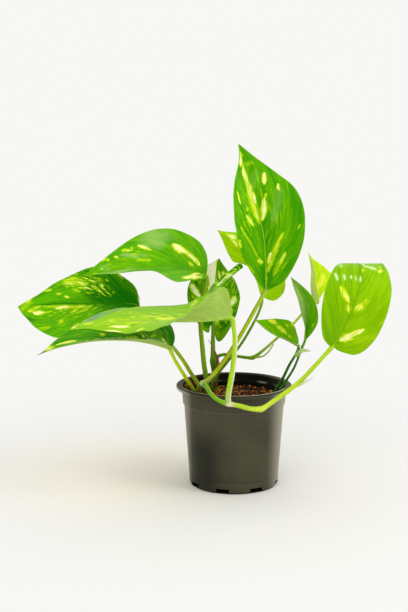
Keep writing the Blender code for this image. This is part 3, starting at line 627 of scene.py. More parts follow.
def model_blade(name, seed):
    leaf = LEAVES[name]
    blade, flat, _ = grid(ACROSS, ALONG)
    s, t = flat[:, 0] * 2, flat[:, 1] + 0.5
    point, up, reach, inward = blade_form(leaf, t, s)
    inside = np.clip((reach + inward) / 6, 0, 1)
    groove = np.exp(-(reach / GROOVE_HALF) ** 2) * (1 - 0.6 * t)
    vein = np.cos(2 * np.pi * (VEINS * (t - SWEEP * np.abs(s)) + np.where(s > 0, STAGGER, 0.0)))
    quilt = (1 - vein) * np.clip(reach / 5, 0, 1) * np.clip(inward / 5, 0, 1)
    ripple = np.sin(t * 17 + seed * 1.7 + np.sign(s)) * np.abs(s) ** 4 * np.clip(np.sin(np.pi * t), 0, 1)
    lump = np.array([noise.noise(Vector(p / 14 + seed)) for p in point]) * np.abs(s)
    rise = inside * (QUILT * quilt + RIPPLE * ripple + LUMP * lump - GROOVE * groove)
    place_points(blade, point + up * rise[:, None])
    ridge = np.exp(-(reach / RIDGE_HALF) ** 2) * (1 - t) ** 0.7
    sheet = SHEET * (0.55 + 0.45 * np.clip(inward / 2.5, 0, 1))
    thick = np.clip(sheet + (RIDGE - SHEET) * ridge, 0, RIDGE)
    attribute(blade, "from_rib", reach)
    attribute(blade, "from_edge", inward)
    group = blade.vertex_groups.new(name="thickness")
    for index, value in enumerate(thick / RIDGE):
        group.add([index], float(value), 'REPLACE')
    weld(blade, turn_out=False)
    if "cleft" in leaf:
        open_cleft(blade, *leaf["cleft"])
    upper = len(blade.data.vertices)
    modify(blade, 'SOLIDIFY', thickness=RIDGE * MM, offset=-1, vertex_group="thickness")
    attribute(blade, "under", np.arange(len(blade.data.vertices)) >= upper)
    blade.vertex_groups.clear()
    return blade


# %% [markdown]
# ## The marbling, painted along the veins
#
# Golden pothos is green where its cells make chlorophyll and cream where a patch of them doesn't. The
# patches follow the veins, are whitest in the middle and fade to yellow and lime at their edges. Each
# leaf carries its own. A brush mark group paints one tapered stroke from point to point on the blade's
# flat map, and a few dozen of them, broken up by noise that is stretched along the veins, make the
# leaves differ as the real ones do.

# %% Brush mark group
def brush_mark_group():
    group, tree, given, result = new_group(
        "Brush mark", {"vector": "Place From To", "value": "Width Strength"}, {"value": "Mask"})
    line = tree.vector('SUBTRACT', given["To"], given["From"])
    offset = tree.vector('SUBTRACT', given["Place"], given["From"])
    along = tree.math('DIVIDE', tree.vector('DOT_PRODUCT', offset, line),
                      tree.vector('DOT_PRODUCT', line, line))
    along = tree.node("Clamp", {"Value": along})
    nearest = tree.node("VectorMath", {0: line, "Scale": along}, operation='SCALE')
    aside = tree.vector('LENGTH', tree.vector('SUBTRACT', offset, nearest))
    taper = tree.math('SQRT', along * (1.0 - along)) + 0.6
    share = tree.math('DIVIDE', aside, taper * given["Width"])
    tree.feed(result, {"Mask": tree.ramp(share, 2.0, 0.0) * given["Strength"]})
    return group


BRUSH_MARK = brush_mark_group()

# %% [markdown]
# ## Veins on the flat map
#
# The side veins lie at even steps of the map's long way, and sweep forward to the margin, as the mesh is
# drawn in. The group puts out their mask, the pale midrib, and a height for a Bump node with the fine
# grain of the skin. The upper and under faces are told apart by the attribute that the model step stored.

# %% Vein group
# How many times each noise changes across the flat map, and along it
GRAIN, CLOUD, FLECK, HAIR, WANDER = (5.0, 70.0), (3.0, 10.0), (14.0, 44.0), (7.0, 72.0), (12.0, 40.0)


def on_map(tree, often, across, along, seed):
    """A place for a noise that is stretched over the flat map; the seed sets it apart."""
    return tree.combine(across * often[0], along * often[1], seed)


def vein_group():
    group, tree, given, result = new_group(
        "Blade veins", {"value": "Seed"}, {"value": "Swept Vein Rib Edge Under Grain Cloud Height"})
    across, along = tree.flat_map()
    swept = along - tree.math('ABSOLUTE', across * 2.0 - 1.0) * SWEEP
    reach, inward = tree.stored("from_rib"), tree.stored("from_edge")
    phase = tree.math('GREATER_THAN', across, 0.5) * STAGGER + swept * float(VEINS)
    wave = tree.math('COSINE', phase * (2 * math.pi))
    vein = tree.ramp(wave, 0.95, 1.0) * (tree.ramp(reach, 0.3, 3.0) * tree.ramp(inward, 0.5, 5.0))
    grain = tree.noise(on_map(tree, GRAIN, across, swept, given["Seed"]), 1.3, detail=3.0)
    cloud = tree.noise(on_map(tree, CLOUD, across, swept, given["Seed"]), 1.0, detail=3.0)
    skin = tree.noise(tree.place(), 2600.0, detail=1.0)
    tree.feed(result, {
        "Swept": swept, "Vein": vein, "Rib": tree.ramp(reach, 0.75, 0.25) * tree.ramp(along, 1.0, 0.8),
        "Edge": tree.ramp(inward, 0.8, 0.1), "Under": tree.stored("under"), "Grain": grain,
        "Cloud": cloud, "Height": grain * 0.5 + skin * 0.12 - vein * 0.4})
    return group


BLADE_VEINS = vein_group()

# %% [markdown]
# ## Colour of a blade
#
# The greens are three noises: broad clouds of deep and fresh green, stripes along the veins and fine
# dark hairs. The paint from the brush marks and a scatter of flecks push the colour through lime and
# yellow to cream. Shade darkens it. Sheen is painted: grey-green reflections of the bright room on the
# waxy skin. A dying tip is brown. The under face is paler and dull.

# %% Marbled blade group
def marbled_blade_group():
    group, tree, given, result = new_group(
        "Marbled blade",
        {"value": "Paint Speckle Sheen Shade Bright Tip Seed",
         "colour": "Deep Fresh Dark Lime Cream Bloom Midrib Back"},
        {"colour": "Colour", "value": "Roughness Height"})
    seed, shade = given["Seed"], given["Shade"]
    veins = tree.use(BLADE_VEINS, {"Seed": seed})
    across, along = tree.flat_map()
    swept, grain, cloud = veins["Swept"], veins["Grain"], veins["Cloud"]
    stripe = given["Bright"] * 0.18 + (grain * 0.4 + cloud * 0.6)
    green = tree.mix(tree.ramp(stripe, 0.38, 0.62), given["Deep"], given["Fresh"])
    fleck = tree.noise(on_map(tree, FLECK, across, swept, seed + 5.0), 1.0, roughness=0.6)
    hair = tree.noise(on_map(tree, HAIR, across, swept, seed + 9.0), 1.0, roughness=0.6)
    green = tree.mix(tree.ramp(hair, 0.52, 0.3, 0.0, 0.5), green, given["Deep"])
    green = tree.mix(shade * 0.8, green, given["Dark"])
    ragged = fleck * 2.2 + (hair * 2.6 - 1.28)
    specks = tree.ramp(fleck, 0.48, 0.67) * given["Speckle"]
    hairs = tree.ramp(hair, 0.5, 0.8, 0.0, 0.4) * (1.0 - shade * 0.8)
    level = tree.most(tree.most(given["Paint"] * ragged, specks), hairs)
    colour = tree.mix(tree.ramp(level, 0.05, 0.42), green, given["Lime"])
    colour = tree.mix(tree.ramp(level, 0.36, 0.74), colour, rgb(0.70, 0.78, 0.02))
    colour = tree.mix(tree.ramp(level, 0.68, 1.0), colour, given["Cream"])
    colour = tree.mix(veins["Vein"] * 0.07, colour, given["Lime"])
    colour = tree.mix(veins["Rib"] * 0.8, colour, given["Midrib"])
    colour = tree.mix(veins["Edge"] * 0.35, colour, given["Lime"])
    # Painted sheen: grey-green reflections of the room on the glossy skin
    colour = tree.mix(given["Sheen"] * (grain * 1.2 + 0.4), colour, given["Bloom"])
    colour = tree.mix(given["Tip"] * tree.ramp(along, 0.94, 0.97), colour, rgb(0.30, 0.17, 0.05))
    back = tree.mix(tree.ramp(cloud, 0.42, 0.6, 0.0, 0.35), given["Back"], rgb(0.26, 0.44, 0.06))
    netting = tree.ramp(hair + veins["Vein"] * 0.3, 0.52, 0.8, 0.0, 0.5)
    back = tree.mix(netting, back, rgb(0.66, 0.78, 0.34))
    tree.feed(result, {"Colour": tree.mix(veins["Under"] * 0.8, colour, back), "Height": veins["Height"],
                       "Roughness": veins["Under"] * 0.2 + (grain * 0.16 + 0.34)})
    return group


MARBLED_BLADE = marbled_blade_group()


# %% One blade's finish
SHORTEST = 0.01                # added to a stroke, so that none is without length


def blade_finish(name, seed):
    """The marbled finish with this leaf's own greens and brush marks."""
    leaf, look = LEAVES[name], {**COMMON, "dark": LOOKS[name]["deep"], **LOOKS[name]}
    finish, tree, shader = new_material(name + "_finish", 0.35, Specular_IOR_Level=0.16,
                                        Specular_Tint=(0.5, 0.9, 0.15, 1))
    wide, tall = sum(leaf["half"]) / 2, Route(leaf["rib"]).length
    across, along = tree.flat_map()
    wander = tree.noise(on_map(tree, WANDER, across, along, seed + 3.0), 1.0)
    spot = tree.combine(across * (2 * wide) - wide + (wander * 4.0 - 2.0), along * tall)
    parts = {"Tip": look.get("tip", 0.0), "Seed": float(seed)}
    for kind in ("paint", "speckle", "sheen", "shade", "bright"):
        total = 0.0
        for t0, s0, t1, s1, width, strength in look.get(kind, []):
            mark = tree.use(BRUSH_MARK, {
                "Place": spot, "Width": width, "Strength": strength,
                "From": (s0 / 100 * wide, t0 / 100 * tall, 0),
                "To": (s1 / 100 * wide, t1 / 100 * tall + SHORTEST, 0)})
            total = tree.most(total, mark["Mask"])
        parts[kind.capitalize()] = total
    for label in ("deep", "fresh", "dark", "lime", "cream", "bloom", "midrib", "back"):
        parts[label.capitalize()] = rgb(*look[label])
    blade = tree.use(MARBLED_BLADE, parts)
    tree.feed(shader, {"Base Color": blade["Colour"], "Roughness": blade["Roughness"],
                       "Normal": tree.bump(blade["Height"], 0.3 * MM, 0.4)})
    return finish


# %% [markdown]
# ## Each leaf's own colours, and its painted sheen
#
# Old leaves are deep green and marbled; young ones are lime. The numbers of a mark are where its stroke
# starts and ends on the blade, its half width in millimetres and its strength: under a half is lime,
# then yellow, and 1 is cream. A place on the blade is hundredths of the way from base to tip, then
# hundredths of the way across, with the left negative.

# %% Greens and marks of each leaf
# Sheen marks, in the sheen colour, paint grey-green reflections of the room; on leaf F also a pale band
# along the midrib
COMMON = dict(lime=(0.30, 0.56, 0.001), cream=(0.90, 0.90, 0.42), bloom=(0.32, 0.50, 0.16),
              midrib=(0.36, 0.60, 0.03), back=(0.38, 0.54, 0.07))
DARK_RIB = (0.10, 0.30, 0.002)
LOOKS = {
    "leaf_a": dict(
        deep=(0.03, 0.26, 0), fresh=(0.11, 0.4, 0), bloom=(0.24, 0.5, 0.07),
        paint=[(90, -6, 72, 4, 3, 1.05), (86, -5, 85, -42, 4, 0.9), (84, -10, 62, -10, 5, 0.55),
            (80, -18, 66, -26, 3, 0.4), (89, -80, 95, -10, 3.4, 0.95), (94, 30, 97, -30, 1.5, 0.4),
            (62, 8, 68, 30, 2.2, 1), (68, 30, 69, 42, 1.2, 0.5), (74, 55, 77.5, 75, 1.7, 0.95),
            (64, 72, 67, 80, 1.2, 0.65), (60, -52, 57, -35, 2.4, 0.65), (64, -50, 66, -42, 1.5, 0.45),
            (71, -82, 66, -72, 1.5, 0.6), (51, -80, 47, -72, 1.3, 0.55), (47, -70, 36, -32, 1.8, 0.36),
            (33, -30, 34, -15, 2.4, 0.65), (27, 5, 45, 32, 2.6, 0.5), (34, 7, 40, 14, 1.7, 0.8),
            (45, 32, 47, 45, 1.8, 0.5), (28, 40, 35, 52, 2.3, 0.65), (22, 30, 31, 42, 3, 0.38),
            (25, 55, 27, 65, 2, 0.3), (36, -98, 41, -94, 2, 0.6), (23, -98, 20, -70, 3.2, 0.34),
            (44, 80, 44, 86, 1.1, 0.4), (0, -90, 0, 90, 2.6, 0.4), (0, 0, 24, 1, 1.7, 0.42),
            (90, 10, 87, 70, 1.8, 0.25)],
        speckle=[(95, 0, 50, -60, 14, 0.42), (80, 40, 45, 30, 12, 0.35)],
        sheen=[(78, 20, 82, 60, 2, 0.36), (57, 30, 64, 75, 2.6, 0.4)],
        shade=[(30, -12, 6, -14, 5, 0.9), (30, 14, 7, 16, 4.5, 0.8), (60, 2, 30, 2, 3, 0.5),
            (10, 40, 6, 90, 4, 0.5)]),
    "leaf_b": dict(
        deep=(0.26, 0.5, 0), fresh=(0.33, 0.57, 0),
        paint=[(88, -2, 86, 55, 2.6, 0.95), (85, -10, 79, -28, 2.6, 0.72), (92, 20, 90, 70, 1.6, 0.55),
            (96, -60, 97, 60, 1.6, 0.4)],
        shade=[(75, -25, 66, -40, 1.6, 0.9)]),
    "leaf_c": dict(
        deep=(0.05, 0.31, 0), fresh=(0.14, 0.43, 0), bloom=(0.33, 0.53, 0.12), midrib=DARK_RIB,
        paint=[(40, 54, 34, 43, 3, 1.1), (36, 50, 27, 36, 2.6, 0.7), (28, 38, 20, 27, 2.2, 0.72),
            (31, 18, 27, 14, 1.5, 0.55), (68, 27, 60, 20, 1.8, 0.45), (56, 50, 61, 72, 1.4, 0.7),
            (68, 70, 71, 83, 1.6, 0.62), (67, 68, 65, 75, 1.2, 0.5), (77, 63, 77.5, 78, 1.1, 0.62),
            (83, 72, 82, 84, 1, 0.6), (83, 90, 85, 100, 1.6, 0.6), (90, 25, 89, 50, 0.8, 0.5),
            (29, -70, 14, -60, 6, 0.85), (24, -50, 17, -12, 3.4, 0.85), (18, -95, 16, -60, 4, 0.7),
            (23, -50, 21, -45, 1.6, 1.1), (10, -90, 12, -20, 2, 0.5), (2, -90, 2, 90, 2.4, 0.36),
            (46, -90, 44, -70, 1.4, 0.3), (93, -90, 95, 20, 1.6, 0.35)],
        speckle=[(92, 30, 60, 60, 8, 0.45), (30, -70, 15, -30, 5, 0.4)],
        sheen=[(66, 36, 74, 70, 1.5, 0.7), (50, 62, 50, 95, 7, 0.62), (56, 65, 44, 85, 5, 0.5),
            (60, 32, 66, 50, 1.2, 0.4), (80, -100, 75, -15, 7, 0.7), (90, -90, 90, 0, 3, 0.6),
            (87, 10, 88, 70, 2, 0.3)],
        shade=[(99, 0, 90, 15, 3.5, 0.8), (12, 12, 10, 45, 4, 1), (55, 2, 20, 4, 4, 0.6),
            (45, -30, 35, -10, 4, 0.5)]),
    "leaf_d": dict(
        deep=(0.002, 0.16, 0), fresh=(0.1, 0.42, 0), lime=(0.26, 0.55, 0), dark=(0, 0.15, 0),
        midrib=(0.02, 0.2, 0),
        paint=[(56, 65, 65, 90, 4.4, 0.5), (53, 60, 60, 72, 3.4, 0.45), (63, 52, 60, 40, 1.3, 0.45),
            (43, 46, 43, 52, 1.6, 0.75), (45, 30, 50, 50, 1.4, 0.45), (70, 25, 70, 33, 1.7, 0.75),
            (73, 45, 74, 55, 1.6, 0.5), (36, 30, 36, 33, 1.6, 0.35), (38, 60, 38, 64, 1, 0.6),
            (76, 80, 80, 100, 1.4, 0.55), (24, 90, 27, 100, 2, 0.45), (93, 95, 95, 10, 3.4, 0.4),
            (91, 100, 93, 70, 2, 0.6), (87, -55, 83, -38, 2.6, 0.95), (76, -18, 70, -12, 1.8, 0.9),
            (85, -12, 55, -10, 2, 0.5), (91, -60, 88, -10, 2.6, 0.5), (67, -60, 67, -55, 2.2, 0.5),
            (56.5, -75, 56, -60, 1.6, 0.85), (96, -80, 96, 80, 2.6, 0.34), (78, -95, 72, -80, 2, 0.35)],
        speckle=[(42, 35, 66, 85, 8, 1), (90, -50, 50, -15, 7, 0.7), (60, -70, 66, -50, 5, 0.5),
            (12, 60, 30, 100, 4, 0.3)],
        shade=[(12, 20, 50, 20, 14, 1.2), (50, 5, 85, 5, 4, 0.4), (8, -2, 90, -2, 0.8, 1)],
        bright=[(98, 0, 66, 50, 16, 1), (98, -10, 40, -60, 20, 1)]),
    "leaf_e": dict(
        deep=(0.17, 0.46, 0), fresh=(0.29, 0.57, 0), back=(0.45, 0.63, 0.12), lime=(0.46, 0.68, 0.01),
        bloom=(0.16, 0.32, 0.12), dark=(0.02, 0.2, 0),
        paint=[(83, -100, 77, -96, 2.6, 1), (82, -60, 75, -54, 2.8, 1.1), (75, -38, 71, -20, 2.6, 0.5),
            (68, -95, 66, -80, 1.4, 0.6), (84, -10, 84, 10, 1.6, 0.5), (62, 12, 54, 14, 3.2, 0.62),
            (68, 30, 60, 25, 2, 0.5), (73, 20, 74, 30, 1.6, 0.55), (73, 60, 73, 66, 1.2, 0.55),
            (78, 68, 78, 74, 1.2, 0.5), (46, 75, 45, 90, 1.8, 0.45), (35, 87, 28, 86, 0.8, 1.1),
            (93, -40, 95, 60, 2.6, 0.36)],
        speckle=[(85, -50, 50, 30, 16, 0.75), (40, 93, 20, 95, 4, 0.5)],
        sheen=[(92, 40, 88, 100, 5.5, 1), (84, 70, 76, 100, 3, 0.8), (40, 50, 30, 80, 6, 0.5)],
        shade=[(38.5, 92, 30, 93, 2.2, 1.3), (30, 93, 20, 97, 3.4, 1.3)]),
    "leaf_f": dict(
        deep=(0.012, 0.21, 0), fresh=(0.11, 0.4, 0), bloom=(0.62, 0.72, 0.36), midrib=(0.6, 0.7, 0.3),
        tip=0.95,
        paint=[(80, 15, 88, 42, 2.6, 0.8), (93, 0, 93, 95, 2.6, 0.62), (74, 93, 74, 100, 1.8, 0.7),
            (64, 18, 63, 25, 1.8, 0.45), (20, 26, 12, 18, 2.2, 0.8), (37, 12, 36, 15, 1.4, 0.6),
            (50, 5, 42, 8, 1.6, 0.45), (30, 20, 27, 30, 1.4, 0.5)],
        speckle=[(10, 30, 50, 30, 8, 0.42)],
        sheen=[(0, 0, 32, 3, 3.4, 1.3), (30, 0, 90, 0, 1.2, 1.1)],
        shade=[(6, 40, 12, 90, 6, 1)]),
    "leaf_g": dict(
        deep=(0.006, 0.16, 0), fresh=(0.1, 0.36, 0.002), cream=(0.98, 0.93, 0.76), midrib=DARK_RIB,
        paint=[(92, -90, 80, -15, 4.4, 1.3), (88, -30, 70, -9, 3.4, 1.3), (68, -20, 64, -24, 2.4, 0.7),
            (73, -95, 70, -80, 2, 0.6), (62, -90, 55, -55, 1.6, 1), (86, 15, 80, 25, 1.8, 0.7),
            (85, 40, 84, 60, 1.4, 0.6), (60, 82, 53, 70, 1.8, 0.95), (52, 68, 46, 72, 1.4, 0.6),
            (24, 24, 18, 22, 2.2, 0.8), (20, 30, 10, 42, 2.8, 0.5), (12, 20, 3, 30, 2.2, 0.6)],
        speckle=[(30, 50, 90, 70, 8, 0.6), (50, -70, 75, -90, 6, 0.5), (15, 50, 2, 60, 7, 0.8)],
        shade=[(30, 60, 14, 80, 5, 1), (12, 20, 0, 80, 7, 0.9), (10, -20, 0, -80, 6, 0.9)]),
    "leaf_h": dict(
        deep=(0.08, 0.36, 0), fresh=(0.22, 0.48, 0), cream=(0.72, 0.68, 0.1),
        paint=[(77, 88, 66, 72, 2, 0.85), (62, 55, 47, 30, 1.8, 0.75), (42, 22, 36, 20, 1.4, 0.5),
            (45, 68, 41, 75, 1.1, 0.62), (36, 90, 30, 100, 1.4, 0.7)]),
    "leaf_i": dict(
        deep=(0.05, 0.29, 0), fresh=(0.14, 0.39, 0), bloom=(0.3, 0.44, 0.12), midrib=DARK_RIB,
        paint=[(30, 50, 33, 60, 0.9, 0.4)],
        sheen=[(40, -90, 90, -30, 7, 0.7), (90, 10, 88, 80, 3, 0.7)]),
    "leaf_j": dict(
        deep=(0.42, 0.66, 0), fresh=(0.6, 0.8, 0.01), lime=(0.7, 0.86, 0.02), cream=(0.84, 0.9, 0.16),
        midrib=(0.4, 0.55, 0.01), back=(0.64, 0.8, 0.14),
        paint=[(30, 10, 50, 28, 2.2, 0.75), (45, 36, 62, 65, 2.2, 0.75), (55, 10, 78, 20, 2, 0.45)],
        shade=[(30, 12, 45, 36, 0.8, 1.2), (50, 45, 60, 80, 0.8, 1), (80, 30, 78, 80, 2, 0.8)]),
    "leaf_k": dict(
        deep=(0.13, 0.36, 0), fresh=(0.25, 0.5, 0), bloom=(0.66, 0.82, 0.36), midrib=(0.17, 0.42, 0),
        paint=[(19, 12, 28, 30, 3.4, 0.9), (25, 22, 33, 50, 2.4, 0.9), (24, 40, 30, 95, 3.4, 0.36),
            (50, 10, 49, 22, 4, 0.6), (54, 28, 51, 32, 1.8, 0.5), (70, 62, 70, 80, 1.6, 0.7),
            (74, 70, 73, 78, 1.2, 0.6), (52, -55, 50, -22, 2.6, 0.66), (47, -18, 45, -10, 2.8, 0.62),
            (72, -10, 74, 5, 1.8, 0.5), (38, 92, 40, 100, 1.3, 0.45)],
        speckle=[(20, 30, 70, 40, 16, 0.35)],
        sheen=[(68, -8, 65.5, -5, 1, 0.9), (65.5, -25, 64, -22, 0.8, 0.8), (63.5, -42, 62, -38, 0.9, 0.9),
            (60, -62, 58, -55, 1, 0.9), (56, -88, 54, -75, 1.2, 0.8), (66, -95, 63, -85, 1.6, 0.5),
            (79, -50, 76.5, 10, 1.1, 0.8), (76.5, 10, 72, 55, 1.1, 0.9)],
        shade=[(34, -25, 6, -15, 9, 0.7), (10, -2, 70, -2, 0.8, 1)],
        bright=[(5, 55, 70, 55, 16, 0.45)]),
}

# %% Model and finish the blades
for seed, name in enumerate(LEAVES, start=1):
    hand_over(model_blade(name, seed), name + "_blade", blade_finish(name, seed), name, angle=60)

# %% [markdown]
# ## Stalks and creeping stems
#
# A route is the middle of a stem, from its lower end up, with its radius as the fourth number. bears
# is the blade that it carries: the stalk swells into the joint that turns the blade to the light, and
# then runs out under the midrib. slim makes it thinner than the CAD stem. tint is its colour along
# its length, as (share, red, green, blue), and edges are the sides that have another colour: which way
# they face, their colour and how much of it.

# %% Stem routes and colours
ROOT_DEPTH = 56.0              # height of a stem's lower end
SLIM = 0.9
BROWN, PALE = (0.20, 0.07, 0.012), (0.88, 0.84, 0.66)
STEMS = {
    "vine_front": [dict(
        route=[(-34, -9, ROOT_DEPTH, 2.6), (-32.5, -13, 78, 2.8), (-31, -20, 89, 2.8),
               (-27.5, -30, 96, 2.9), (-23.5, -45, 95, 2.3), (-19.8, -54, 91.5, 2.2), (-13, -57, 87, 2.2),
               (-6.3, -57, 84.9, 2.5), (3.8, -58, 83, 2.4), (12, -58, 80.8, 2.5), (20, -58, 80.2, 2.6),
               (24, -58, 81.5, 2.5), (32.3, -58, 87.5, 2.4), (45, -57, 96.5, 2.4), (56, -55, 105.5, 2.2),
               (66, -54, 116, 2.1), (74.5, -52, 125, 2)], bears="leaf_k", slim=0.84,
        tint=[(0, 0.2, 0.12, 0.03), (0.15, 0.16, 0.24, 0.01), (0.225, 0.24, 0.36, 0.02),
              (0.237, 0.6, 0.66, 0.25), (0.255, 0.1, 0.34, 0), (0.4, 0.16, 0.42, 0.002),
              (0.425, 0.8, 0.68, 0.5), (0.45, 0.45, 0.62, 0.03), (0.56, 0.62, 0.78, 0.06),
              (0.66, 0.5, 0.7, 0.02), (0.8, 0.45, 0.66, 0.01), (1, 0.42, 0.64, 0.01)],
        # The second edge is a painted highlight along the lit upper side
        edges=[((0.5, 0, -0.9), PALE, 0.6), ((0.4, -0.3, 0.8), (0.4, 0.6, 0.03), 0.7)]), dict(
        route=[(-6.3, -57, 84.9, 2.4), (-6, -58, 93.5, 2.4), (-4, -60, 106, 2.3), (-2.3, -61, 118, 2.2),
               (-1.2, -62, 130, 2.1), (-0.8, -62, 142, 2), (-2, -62, 152.5, 1.9)], bears="leaf_e", slim=1,
        tint=[(0, 0.5, 0.58, 0.2), (0.2, 0.44, 0.68, 0.02), (1, 0.4, 0.65, 0.015)],
        edges=[((1, -0.3, 0), PALE, 0.95), ((-1, -0.2, 0), (0.3, 0.52, 0.02), 0.5)]), dict(
        route=[(-27.5, -30, 96, 2.2), (-21.3, -28, 100.5, 2.1), (-14.4, -25, 108, 2),
               (-7.5, -23, 117, 1.9), (-1.4, -21, 126, 1.9), (4.6, -20, 135.5, 1.8),
               (13.3, -19, 151, 1.8), (19.3, -18, 162, 1.7)], bears="leaf_a", slim=0.96,
        tint=[(0, 0.4, 0.4, 0.08), (0.12, 0.4, 0.46, 0.002), (0.5, 0.42, 0.56, 0.002),
              (1, 0.34, 0.56, 0.03)],
        edges=[((-0.9, -0.3, 0.3), BROWN, 0.75), ((1, -0.2, -0.5), (0.62, 0.66, 0.12), 0.7)])],
    "vine_middle": [dict(
        route=[(-16.5, 8, ROOT_DEPTH, 2.5), (-16.7, 8, 80, 2.6), (-17.3, 8, 94, 2.5),
               (-18.5, 8, 108, 2.6), (-18.5, 9, 118, 2.3), (-18.6, 10.5, 126, 2.1),
               (-18.4, 11.4, 132, 1.9)], bears="leaf_g",
        tint=[(0, 0.04, 0.12, 0), (0.45, 0.06, 0.23, 0), (0.55, 0.12, 0.32, 0), (1, 0.17, 0.36, 0.005)],
        edges=[((-1, -0.5, 0), BROWN, 0.5)]), dict(
        route=[(-18.5, 8, 107, 2), (-14, 9, 112, 1.8), (-8, 10, 113.5, 1.6), (0, 12, 112, 1.6),
               (11, 14, 110, 1.6), (17.7, 16, 109.7, 1.9), (25.3, 17, 115, 1.5), (32.5, 18, 121, 1.4),
               (38.7, 19, 126.5, 1.4), (46, 21, 132.5, 1.3), (54, 23, 139.5, 1.3), (62, 25, 148, 1.3),
               (69.5, 27, 153.5, 1.2)], bears="leaf_j",
        tint=[(0, 0.06, 0.25, 0.004), (0.3, 0.16, 0.4, 0.01), (0.42, 0.4, 0.58, 0.06),
              (0.47, 0.55, 0.66, 0.12), (0.52, 0.42, 0.62, 0.05), (0.7, 0.5, 0.7, 0.06),
              (1, 0.6, 0.78, 0.06)],
        edges=[((0, -0.2, 1), (0.5, 0.66, 0.03), 0.6)]), dict(
        route=[(17.7, 16, 109.7, 1.2), (25.2, 14, 110.8, 0.8), (29.6, 13.5, 114, 0.8),
               (33, 13, 118.5, 0.7), (35.7, 13, 123, 0.6)],
        tint=[(0, 0.5, 0.62, 0.1), (1, 0.6, 0.6, 0.2)])],
    "petiole_b": [dict(
        route=[(-22, -5, ROOT_DEPTH, 1.7), (-21, -7, 84, 1.7), (-14.2, -8, 99.5, 1.6),
               (-5.5, -7, 111, 1.6), (3.3, -5, 122, 1.5), (9.4, -4, 131, 1.5), (14.6, -3, 140, 1.5),
               (20.3, -2, 151, 1.4), (23.6, -1, 160, 1.4)], bears="leaf_b", slim=0.8,
        tint=[(0, 0.05, 0.14, 0), (1, 0.2, 0.42, 0.004)])],
    "petiole_c": [dict(
        route=[(-24, -13, ROOT_DEPTH, 2.3), (-24, -12, 80, 2.4), (-24.8, -12, 96, 2.3),
               (-26.7, -13, 110, 2.2), (-28.2, -14, 126.5, 2.1), (-29.4, -14, 140, 2),
               (-29.4, -14, 151, 2), (-27.4, -13, 166, 1.9), (-25.2, -12, 177, 1.8)], bears="leaf_c",
        tint=[(0, 0.08, 0.18, 0), (0.5, 0.18, 0.38, 0), (1, 0.24, 0.44, 0.01)],
        edges=[((-1, -0.4, 0), BROWN, 0.9), ((1, -0.3, 0), (0.28, 0.5, 0.01), 0.5)])],
    "petiole_d": [dict(
        route=[(-27, 3, ROOT_DEPTH, 2), (-28.5, 1, 80, 2), (-32.7, -1, 91, 2), (-37.9, -2, 99, 2),
               (-44, -1, 109, 2), (-51, 0, 118.5, 1.9), (-61.7, 2, 131.5, 1.8),
               (-72.2, 4, 144, 1.7)], bears="leaf_d", slim=0.84,
        tint=[(0, 0.32, 0.42, 0), (0.5, 0.36, 0.58, 0), (1, 0.42, 0.64, 0.005)],
        edges=[((0.85, -0.2, 0.6), BROWN, 0.6), ((-0.8, -0.4, -0.6), (0.5, 0.66, 0.01), 0.9)])],
    "petiole_f": [dict(
        route=[(-34.5, -2, ROOT_DEPTH, 1.9), (-34.8, -5, 79, 1.9), (-37, -10, 88, 1.9),
               (-40.9, -16, 95.5, 1.8), (-45.5, -24, 105, 1.8),
               (-51.3, -33, 117, 1.7)], bears="leaf_f", slim=0.84,
        tint=[(0, 0.54, 0.62, 0), (1, 0.56, 0.76, 0.01)],
        edges=[((0.8, -0.3, 0.6), (0.3, 0.16, 0.01), 0.6), ((-0.7, -0.6, 0), (0.62, 0.76, 0.1), 0.7)])],
    "stem_right": [dict(
        route=[(33, 1, ROOT_DEPTH, 1.9), (36, 0.5, 80, 1.9), (40.6, 0, 89.5, 1.8), (44.5, -1, 97.5, 1.7),
               (48.3, -1.5, 106, 1.6), (52.3, -2, 113, 1.5),
               (55.6, -2, 118.5, 1.5)], bears="leaf_h", slim=0.68,
        tint=[(0, 0.005, 0.03, 0), (0.6, 0.014, 0.12, 0.002), (0.9, 0.06, 0.28, 0.005),
              (1, 0.2, 0.46, 0.01)]), dict(
        route=[(35.5, -6, ROOT_DEPTH, 1.7), (39.5, -3.5, 80, 1.7), (45.8, -2, 92, 1.6),
               (49.6, -1.2, 98, 1.5), (53, -0.5, 104, 1.5), (55.7, 0, 110.5, 1.4), (57.5, 0, 116, 1.5),
               (59.6, 1, 121, 1.4)], bears="leaf_i", slim=0.68,
        tint=[(0, 0.005, 0.03, 0), (0.6, 0.024, 0.15, 0.002), (0.9, 0.1, 0.34, 0.006),
              (1, 0.2, 0.48, 0.01)])],
}
# Middles of the rings where a leaf once sat, or still sits
RINGS = {
    "vine_front": [(-27.5, -30, 96), (-6.3, -57, 84.9), (21.5, -58, 79.3)],
    "vine_middle": [(-18.5, 8, 108), (17.7, 16, 109.7)],
    "stem_right": [(56, -2, 118)],
}
# The end of a stalk under its blade: how far along the midrib and under it, and its radius
TAIL = [(5, 1.15, 1.0), (11, 0.8, 0.55), (16, 0.55, 0.25)]

# %% [markdown]
# ## Rolling a grid into a stalk
#
# A grid with its long sides brought together is a tube. Each row is a ring round the route, and the
# rings are carried along without twisting. A leaf stalk has a channel along its upper side with a thin
# lip on each edge, left by the sheath that once held the next leaf. The last rows close to a point.

# %% Model one stalk
STALK_SIDES = 40
STALK_STEP = 1.1


def carried(route, rows, facing):
    """Centres, radii and two ways across for each row; facing is the side's way at the upper end."""
    share = np.linspace(0, 1, rows)
    centre, way = route.at(share), route.way(share)
    side, sides = facing, []
    for w in way[::-1]:
        side = unit(side - w * np.dot(side, w))
        sides.append(side)
    sides = np.array(sides[::-1])
    return centre[:, :3], centre[:, 3], sides, np.cross(way, sides)


def around(side, other, turn):
    return side * np.cos(turn)[:, None] + other * np.sin(turn)[:, None]


